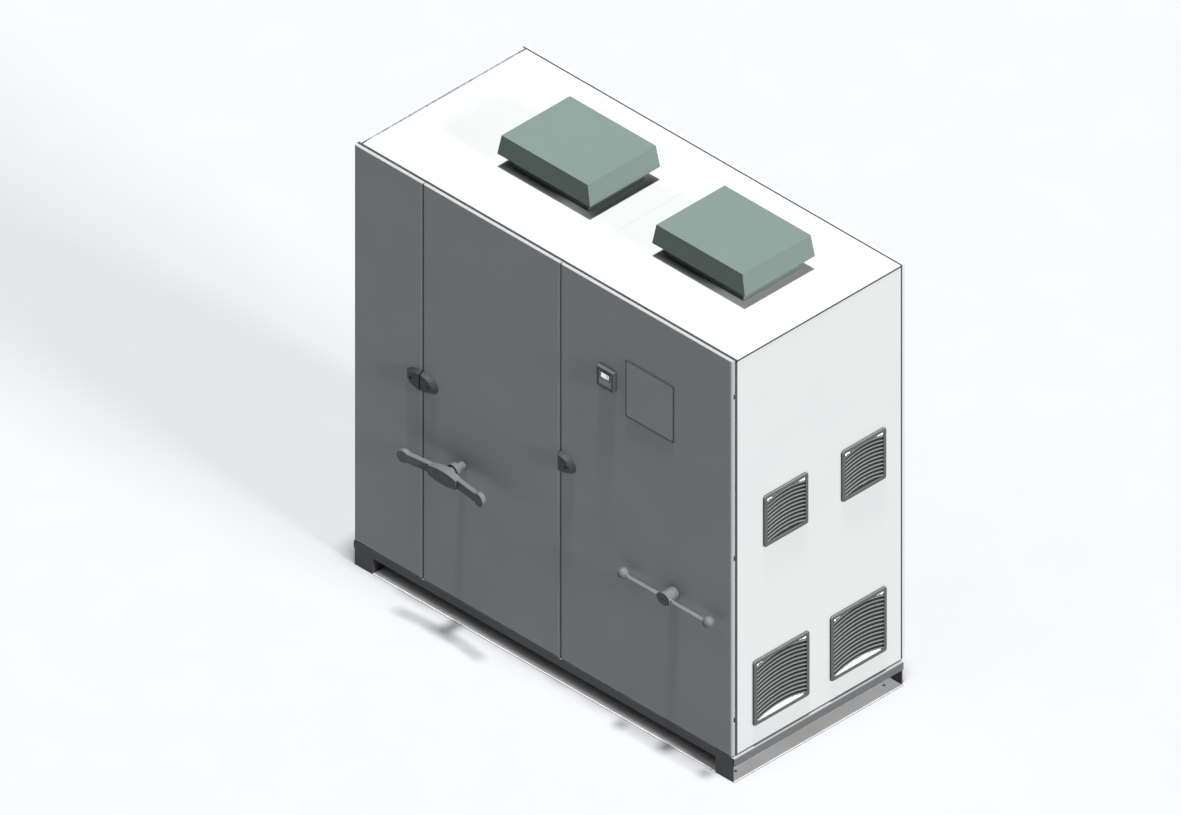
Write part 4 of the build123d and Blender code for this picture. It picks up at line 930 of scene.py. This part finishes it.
@dataclass
class Handles:
    """The moulded double-arm handle and the ball handle, with the shafts behind them."""

    def build(self) -> None:
        """Dresses the handles and shafts."""
        coat(HANDLE_PLASTIC, "moulded_handle", "ball_handle_hub", "ball_handle_balls")
        coat(STEEL_X, "ball_handle_rod", "switch_shaft_2", "switch_shaft_3")


@dataclass
class PanelMeter:
    """The panel meter: case, display with three rows of plain digits, and keys."""

    rows: tuple[str, ...] = ("398", "401", "400")
    key_count: int = 4
    digit_height: float = 6.4 * MM
    digit_width: float = 4.0 * MM
    digit_pitch_share: float = 1.6
    digit_margin: float = 8 * MM
    stroke: float = 0.9 * MM
    stroke_share: float = 0.8
    row_pitch: float = 8.4 * MM
    ink: float = 0.12 * MM
    frame_width: float = 11 * MM
    frame_rise: float = 3 * MM
    foil: float = 0.5 * MM
    frame_line: float = 2.4 * MM
    frame_edge: float = 1 * MM
    line_rise: float = 0.4 * MM
    bezel_width: float = 5 * MM
    bezel_reach: float = 1 * MM
    bezel_rise: float = 2.3 * MM
    segments_of: tuple[str, ...] = (
        "abcdef", "bc", "abdeg", "abcdg", "bcfg", "acdfg", "acdefg", "abc", "abcdefg", "abcdfg",
    )

    def build(self) -> None:
        """Dresses the meter, draws its digits and adds its face."""
        coat(METER_PLASTIC, "meter_case")
        coat(DISPLAY, "meter_window")
        coat(KEY_RUBBER, *(f"meter_key_{number + 1}" for number in range(self.key_count)))
        low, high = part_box("meter_window")
        digits = Piece("meter_digits", Body.DOOR_3, "dark_plastic", DIGIT_INK)
        for row, text in enumerate(self.rows):
            middle_z = (low.z + high.z) / 2 + (1 - row) * self.row_pitch
            for place, character in enumerate(text):
                shift = (len(text) - 1 - place) * self.digit_width * self.digit_pitch_share
                x = high.x - self.digit_margin - shift
                self.digit(digits, int(character), Vector((x, low.y, middle_z)))
        digits.settle()
        self.face(low, high)

    def face(self, low: Vector, high: Vector) -> None:
        """Adds the foil inside the raised frame, the frame's lines and the display's bezel.

        Args:
            low: The display's lowest corner.
            high: Its highest corner.
        """
        case_low, case_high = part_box("meter_case")
        floor = case_low.y + self.frame_rise
        rim = Vector((self.frame_width, 0, self.frame_width))
        inner_low, inner_high = case_low + rim, case_high - rim
        reach = Vector((self.bezel_reach, 0, self.bezel_reach))
        start, stop = low - reach, high + reach
        foil = Piece("meter_face_foil", Body.DOOR_3, "meter_plastic", METER_FACE)
        for x_low, x_high, z_low, z_high in (
            (inner_low.x, start.x, inner_low.z, inner_high.z),
            (stop.x, inner_high.x, inner_low.z, inner_high.z),
            (start.x, stop.x, inner_low.z, start.z),
            (start.x, stop.x, stop.z, inner_high.z),
        ):
            foil.block(Vector((x_low, floor - self.foil, z_low)), Vector((x_high, floor, z_high)))
        foil.settle()
        lines = Piece("meter_frame_lines", Body.DOOR_3, "dark_plastic", DARK_PLASTIC)
        skin = case_low.y
        for inset in (self.frame_edge, self.frame_width - self.frame_line):
            lines.band(Vector((case_low.x + inset, skin - self.line_rise, case_low.z + inset)),
                       Vector((case_high.x - inset, skin, case_high.z - inset)),
                       self.frame_line)
        lines.settle()
        bezel = Piece("meter_display_bezel", Body.DOOR_3, "dark_plastic", DARK_PLASTIC)
        bezel.band(Vector((start.x, floor - self.bezel_rise, start.z)),
                   Vector((stop.x, floor, stop.z)), self.bezel_width)
        bezel.settle()

    def digit(self, digits: Piece, value: int, centre: Vector) -> None:
        """Adds one digit made of seven possible strokes.

        Args:
            digits: The piece that gathers the strokes.
            value: The digit, from 0 to 9.
            centre: The middle of the digit on the display's face.
        """
        half = self.digit_height / 4
        side = self.digit_width / 2
        flat = (side * self.stroke_share, self.stroke / 2)
        upright = (self.stroke / 2, half * self.stroke_share)
        strokes = {
            "a": (0, 2 * half, flat), "g": (0, 0, flat), "d": (0, -2 * half, flat),
            "f": (-side, half, upright), "b": (side, half, upright),
            "e": (-side, -half, upright), "c": (side, -half, upright),
        }
        for key in self.segments_of[value]:
            across, up, (reach_x, reach_z) = strokes[key]
            low = centre + Vector((across - reach_x, -self.ink, up - reach_z))
            high = centre + Vector((across + reach_x, 0, up + reach_z))
            digits.block(low, high)


@dataclass
class Louvres:
    """The four louvred filters in the right side panel."""

    layout: Layout
    sizes: tuple[float, ...] = (0.255, 0.255, 0.323, 0.323)
    places: tuple[tuple[float, float], ...] = ((307, 1220), (760, 1220), (280, 384), (729, 384))
    arches: tuple[float, ...] = (0.021, 0.021, 0.028, 0.028)
    pitches: tuple[float, ...] = (0.0195, 0.0195, 0.0202, 0.0202)
    open_feet: tuple[bool, ...] = (False, False, True, True)
    slat_foot: float = 5.5 * MM
    frame_width: float = 16 * MM
    loft: float = 0.8 * MM
    swell: float = 27 * MM
    slack: float = 6 * MM
    clearance: float = 0.6 * MM
    edge_share: float = 0.99
    edge_fall: float = 2.5
    cells: int = 44
    seed: int = 7

    def build(self) -> None:
        """Dresses the grilles and replaces the plain mats with woolly ones."""
        coat(LOUVRE_PLASTIC, "small_louvres", "large_louvres", "filter_grids")
        low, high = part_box("filter_mats")
        mats = Piece("filter_wool_mats", Body.CABINET, "filter_mat", FILTER_WOOL)
        source = random.Random(self.seed)
        for size, arch, pitch, open_foot, (from_front, height) in zip(
                self.sizes, self.arches, self.pitches, self.open_feet, self.places):
            opening = size - 2 * self.frame_width
            top_slat = int((opening - arch) / pitch) * pitch + self.slat_foot
            low_slat = self.slack if open_foot else arch
            centre = Vector((low.x, self.layout.y(from_front), height * MM))
            self.mat(mats, centre, opening - self.clearance, high.x - low.x, arch,
                     (low_slat, top_slat), source)
        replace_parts(mats.settle(60.0), "filter_mats")

    def mat(self, mats: Piece, centre: Vector, side: float, thickness: float, arch: float,
            slats: tuple[float, float], source: random.Random) -> None:
        """Adds one mat: a grid with a lofty face that swells out below and above the slats.

        Args:
            mats: The piece that gathers the mats.
            centre: The middle of the mat's inner face.
            side: Its width and height.
            thickness: Its thickness behind the slats.
            arch: The rise of the slats' arches.
            slats: How far the swelling stays below the lowest slat's arch, and how far the
                ends of the top slat are above the mat's foot.
            source: The seeded source of unevenness.
        """
        mesh = mats.mesh
        turn = Matrix.Rotation(math.pi / 2, 4, "Y")
        place = Matrix.Translation(centre) @ turn
        grid = bmesh.ops.create_grid(mesh, x_segments=self.cells, y_segments=self.cells,
                                     size=side / 2, matrix=place)["verts"]
        faces = list({face for vert in grid for face in vert.link_faces})
        raised = bmesh.ops.extrude_face_region(mesh, geom=faces)["geom"]
        tops = [item for item in raised if isinstance(item, bmesh.types.BMVert)]
        half_chord = (side + self.frame_width) / 2
        low_slat, top_slat = slats
        for vert in tops:
            across = abs(vert.co.y - centre.y)
            above_foot = vert.co.z - centre.z + side / 2
            edge = max(across, abs(vert.co.z - centre.z)) / (side / 2)
            fall = self.loft * (self.edge_fall if edge > self.edge_share else source.random())
            rise = arch * (1 - (across / half_chord) ** 2)
            free = above_foot < rise - low_slat or above_foot > rise + top_slat
            vert.co.x += self.swell if free else thickness - fall


@dataclass
class Ventilators:
    """The two roof ventilators: collar, hood, fan and the wire guard under it."""

    layout: Layout
    from_left_mm: tuple[int, ...] = (800, 1700)
    from_front_mm: int = 508
    guard_radii: tuple[float, ...] = (0.030, 0.052, 0.074, 0.096, 0.118)
    guard_reach: float = 0.127
    wire: float = 1.1 * MM

    def build(self) -> None:
        """Dresses the ventilators and adds the finger guards under their fans."""
        coat(HOOD_COAT, "roof_collars", "roof_hood_1", "roof_hood_2")
        coat(STEEL_Z, "hood_studs")
        coat(DARK_PLASTIC, "fan_housings", "fan_impeller_1", "fan_impeller_2")
        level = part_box("fan_housings")[0].z - self.wire
        guard = Piece("fan_finger_guards", Body.CABINET, "bright_steel", STEEL_Z)
        for from_left in self.from_left_mm:
            centre = Vector((self.layout.x(from_left), self.layout.y(self.from_front_mm), level))
            for radius in self.guard_radii:
                guard.ring(centre, radius, self.wire)
            for run in (Run.X, Run.Y):
                below = centre - Vector((0, 0, 2 * self.wire))
                guard.round_bar(below, run, self.wire, 2 * self.guard_reach, sides=8)
        guard.settle()


@dataclass
class Busbars:
    """Main bars, droppers and insulators, and the bolts that clamp them."""

    layout: Layout
    bolt_radius: float = 8 * MM
    bolt_height: float = 6 * MM
    washer_radius: float = 12 * MM
    washer_sheet: float = 2 * MM
    bar_count: int = 4
    bar_half: float = 30 * MM
    bar_pitch_mm: int = 95
    support_inset_mm: int = 110
    joint_shift: float = 15 * MM
    pole_pitch: float = 95 * MM
    pole_height: float = 135 * MM

    def build(self) -> None:
        """Dresses the copper and adds a bolt with a washer at each insulator and joint."""
        coat(COPPER, "busbars", "busbar_droppers")
        coat(RED_PLASTIC, "busbar_insulators")
        low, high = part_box("busbars")
        levels = [high.z - self.bar_half - count * self.bar_pitch_mm * MM
                  for count in range(self.bar_count)]
        bolts = Piece("busbar_bolts", Body.CABINET, "bright_steel", STEEL_Z)
        for start, stop in self.layout.bays_mm:
            for from_left in (start + self.support_inset_mm, stop - self.support_inset_mm):
                for level in levels:
                    self.bolt(bolts, Vector((self.layout.x(from_left), low.y, level)))
        drop_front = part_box("busbar_droppers")[0].y
        for shaft in ("switch_shaft_2", "switch_shaft_3"):
            shaft_low, shaft_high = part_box(shaft)
            middle = (shaft_low + shaft_high) / 2
            for pole, level in zip((-1, 0, 1), levels):
                x = middle.x + pole * self.pole_pitch
                for shift in (-self.joint_shift, self.joint_shift):
                    self.bolt(bolts, Vector((x + shift, drop_front, level)))
                for z in (middle.z + self.pole_height, middle.z - self.pole_height):
                    self.bolt(bolts, Vector((x, drop_front, z)))
        bolts.settle()

    def bolt(self, bolts: Piece, face: Vector) -> None:
        """Adds one bolt head and washer on a face that looks to the front.

        Args:
            bolts: The piece that gathers the bolts.
            face: The point on the face.
        """
        washer = face - Vector((0, self.washer_sheet / 2, 0))
        bolts.round_bar(washer, Run.Y, self.washer_radius, self.washer_sheet, sides=18)
        head = face - Vector((0, self.washer_sheet + self.bolt_height / 2, 0))
        bolts.round_bar(head, Run.Y, self.bolt_radius, self.bolt_height, sides=HEXAGON)


@dataclass
class Switchgear:
    """The two switches and the terminal rows."""

    block_setback: float = 50 * MM
    vent_count: int = 9
    vent_start_mm: float = 85
    vent_pitch_mm: float = 7
    vent_half: float = 1.5 * MM
    vent_rise: float = 2 * MM
    vent_inset: float = 75 * MM
    vent_edge: float = 0.5 * MM
    fixing_across: float = 50 * MM
    fixing_up: float = 70 * MM
    fixing_radius: float = 5 * MM
    fixing_height: float = 2.4 * MM
    terminal_levels: tuple[float, ...] = (0.7, 1.0, 1.3)
    terminal_count: int = 13
    terminal_pitch_mm: float = 20
    screw_radius: float = 3 * MM
    screw_height: float = 1.6 * MM
    screw_shift: float = 7 * MM
    stop_shift: float = 4 * MM
    stop_half: float = 3.8 * MM
    stop_depth: float = 34 * MM
    stop_reach: float = 22 * MM
    stop_edge: float = 1.5 * MM

    def build(self) -> None:
        """Dresses the switches and terminals and adds their vents, screws and end stops."""
        coat(DARK_PLASTIC, "switch_body_2", "switch_body_3", "cable_glands")
        coat(STEEL_X, "terminal_rails")
        coat(LIGHT_PLASTIC, "terminal_blocks")
        self.vents()
        self.terminal_screws()

    def vents(self) -> None:
        """Adds raised arc-vent ribs on both switch fronts and screws at their corners."""
        ribs = Piece("switch_vent_ribs", Body.CABINET, "dark_plastic", DARK_PLASTIC)
        screws = Piece("switch_fixing_screws", Body.CABINET, "bright_steel", STEEL_Z)
        for number in (2, 3):
            low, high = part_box(f"switch_body_{number}")
            face = low.y + self.block_setback
            middle = (low + high) / 2
            for side in (-1, 1):
                for count in range(self.vent_count):
                    across = (self.vent_start_mm + count * self.vent_pitch_mm) * MM
                    x = middle.x + side * across
                    start = Vector((x - self.vent_half, face - self.vent_rise,
                                    low.z + self.vent_inset))
                    stop = Vector((x + self.vent_half, face, high.z - self.vent_inset))
                    ribs.block(start, stop, self.vent_edge)
            for x in (middle.x - self.fixing_across, middle.x + self.fixing_across):
                for z in (middle.z - self.fixing_up, middle.z + self.fixing_up):
                    place = Vector((x, low.y - self.fixing_height / 2, z))
                    screws.round_bar(place, Run.Y, self.fixing_radius, self.fixing_height,
                                     sides=16)
        ribs.settle()
        screws.settle()

    def terminal_screws(self) -> None:
        """Adds a screw above and below the middle of each terminal, and the end stops."""
        low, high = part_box("terminal_blocks")
        screws = Piece("terminal_screws", Body.CABINET, "bright_steel", STEEL_Z)
        stops = Piece("terminal_end_stops", Body.CABINET, "dark_plastic", DARK_PLASTIC)
        for level in self.terminal_levels:
            for count in range(self.terminal_count):
                x = low.x + (count + 0.5) * self.terminal_pitch_mm * MM
                for shift in (-self.screw_shift, self.screw_shift):
                    place = Vector((x, low.y - self.screw_height / 2, level + shift))
                    screws.round_bar(place, Run.Y, self.screw_radius, self.screw_height,
                                     sides=10)
            for x in (low.x - self.stop_shift, high.x + self.stop_shift):
                start = Vector((x - self.stop_half, high.y - self.stop_depth,
                                level - self.stop_reach))
                stop = Vector((x + self.stop_half, high.y, level + self.stop_reach))
                stops.block(start, stop, self.stop_edge, segments=2)
        screws.settle()
        stops.settle()


@dataclass(frozen=True)
class Sun:
    """One large, distant light, soft at the edges of its shadows."""

    name: str
    towards: tuple[float, float, float]
    strength: float
    spread_degrees: float

    def build(self) -> None:
        """Adds the light, shining from the given direction."""
        data = bpy.data.lights.new(self.name, "SUN")
        data.energy = self.strength
        data.angle = math.radians(self.spread_degrees)
        light = bpy.data.objects.new(self.name, data)
        light.rotation_euler = Vector(self.towards).to_track_quat("Z", "Y").to_euler()
        bpy.context.scene.collection.objects.link(light)


@dataclass
class Studio:
    """Floor, lights and camera."""

    azimuth: float = 45.0
    elevation: float = 35.264
    view_width: float = 4.855
    aim: tuple[float, float, float] = (-0.2297, 0.008, 0.9735)
    distance: float = 9.0
    far_clip: float = 100.0
    floor_reach: float = 60.0
    floor_gap: float = 0.3 * MM
    paper_mm: float = 300.0
    air: str = "#F4F6F8"
    air_light: float = 0.08
    suns: tuple[Sun, ...] = (
        Sun("side_softbox", (0.95, -0.01, 0.31), strength=8.4, spread_degrees=14.0),
        Sun("top_softbox", (0.04, -0.02, 1.0), strength=11.2, spread_degrees=5.0),
        Sun("front_fill", (-0.1, -0.42, 0.9), strength=0.45, spread_degrees=30.0),
    )

    def build(self) -> None:
        """Adds everything that isn't part of the object."""
        self.floor()
        for sun in self.suns:
            sun.build()
        world = bpy.data.worlds.new("studio_air")
        world.use_nodes = True
        background = world.node_tree.nodes["Background"]
        background.inputs["Color"].default_value = linear(self.air)
        background.inputs["Strength"].default_value = self.air_light
        bpy.context.scene.world = world
        bpy.context.scene.view_settings.view_transform = "Standard"
        self.camera()

    def floor(self) -> None:
        """Adds a plain floor of matt paper, a little below the plinth so that no faces coincide.

        The paper is mid grey, and the lights bring it up to white.
        """
        mesh = bmesh.new()
        place = Matrix.Translation((0, 0, -self.floor_gap))
        bmesh.ops.create_grid(mesh, x_segments=1, y_segments=1, size=self.floor_reach,
                              matrix=place)
        data = bpy.data.meshes.new("studio_floor")
        mesh.to_mesh(data)
        mesh.free()
        material = bpy.data.materials.new("matt_studio_paper")
        material.use_nodes = True
        tree = material.node_tree
        shader = tree.nodes["Principled BSDF"]
        shader.inputs["Roughness"].default_value = 0.95
        shader.inputs["Specular IOR Level"].default_value = 0.1
        place_at = add_node(tree, "ShaderNodeTexCoord").outputs["Object"]
        fibres = add_node(tree, "ShaderNodeTexNoise", {
            "Vector": place_at, "Scale": per_metre(self.paper_mm), "Detail": 2.0,
        })
        paper = add_node(tree, "ShaderNodeMix", {
            SHARE: fibres.outputs["Fac"], FIRST: linear("#7C7D7F"), SECOND: linear("#7E7F81"),
        }, data_type="RGBA")
        tree.links.new(paper.outputs[MIXED], shader.inputs["Base Color"])
        data.materials.append(material)
        floor = bpy.data.objects.new("studio_floor", data)
        bpy.context.scene.collection.objects.link(floor)

    def camera(self) -> None:
        """Adds the camera with parallel projection, as the drawing was made."""
        turn, tilt = math.radians(self.azimuth), math.radians(self.elevation)
        look = Vector((-math.sin(turn) * math.cos(tilt), math.cos(turn) * math.cos(tilt),
                       -math.sin(tilt)))
        data = bpy.data.cameras.new("drawing_camera")
        data.type = "ORTHO"
        data.ortho_scale = self.view_width
        data.clip_end = self.far_clip
        camera = bpy.data.objects.new("drawing_camera", data)
        camera.location = Vector(self.aim) - look * self.distance
        camera.rotation_euler = look.to_track_quat("-Z", "Y").to_euler()
        bpy.context.scene.collection.objects.link(camera)
        bpy.context.scene.camera = camera


def main() -> None:
    """Builds and dresses every sub-assembly in order."""
    logging.basicConfig(level=logging.INFO, format="%(message)s")
    layout = Layout()
    parts = (
        Plinth(),
        Enclosure(),
        Doors(layout),
        Handles(),
        PanelMeter(),
        Louvres(layout),
        Ventilators(layout),
        Busbars(layout),
        Switchgear(),
        Studio(),
    )
    for part in parts:
        log.info("building %s", type(part).__name__)
        part.build()


if __name__ == "__main__":
    main()
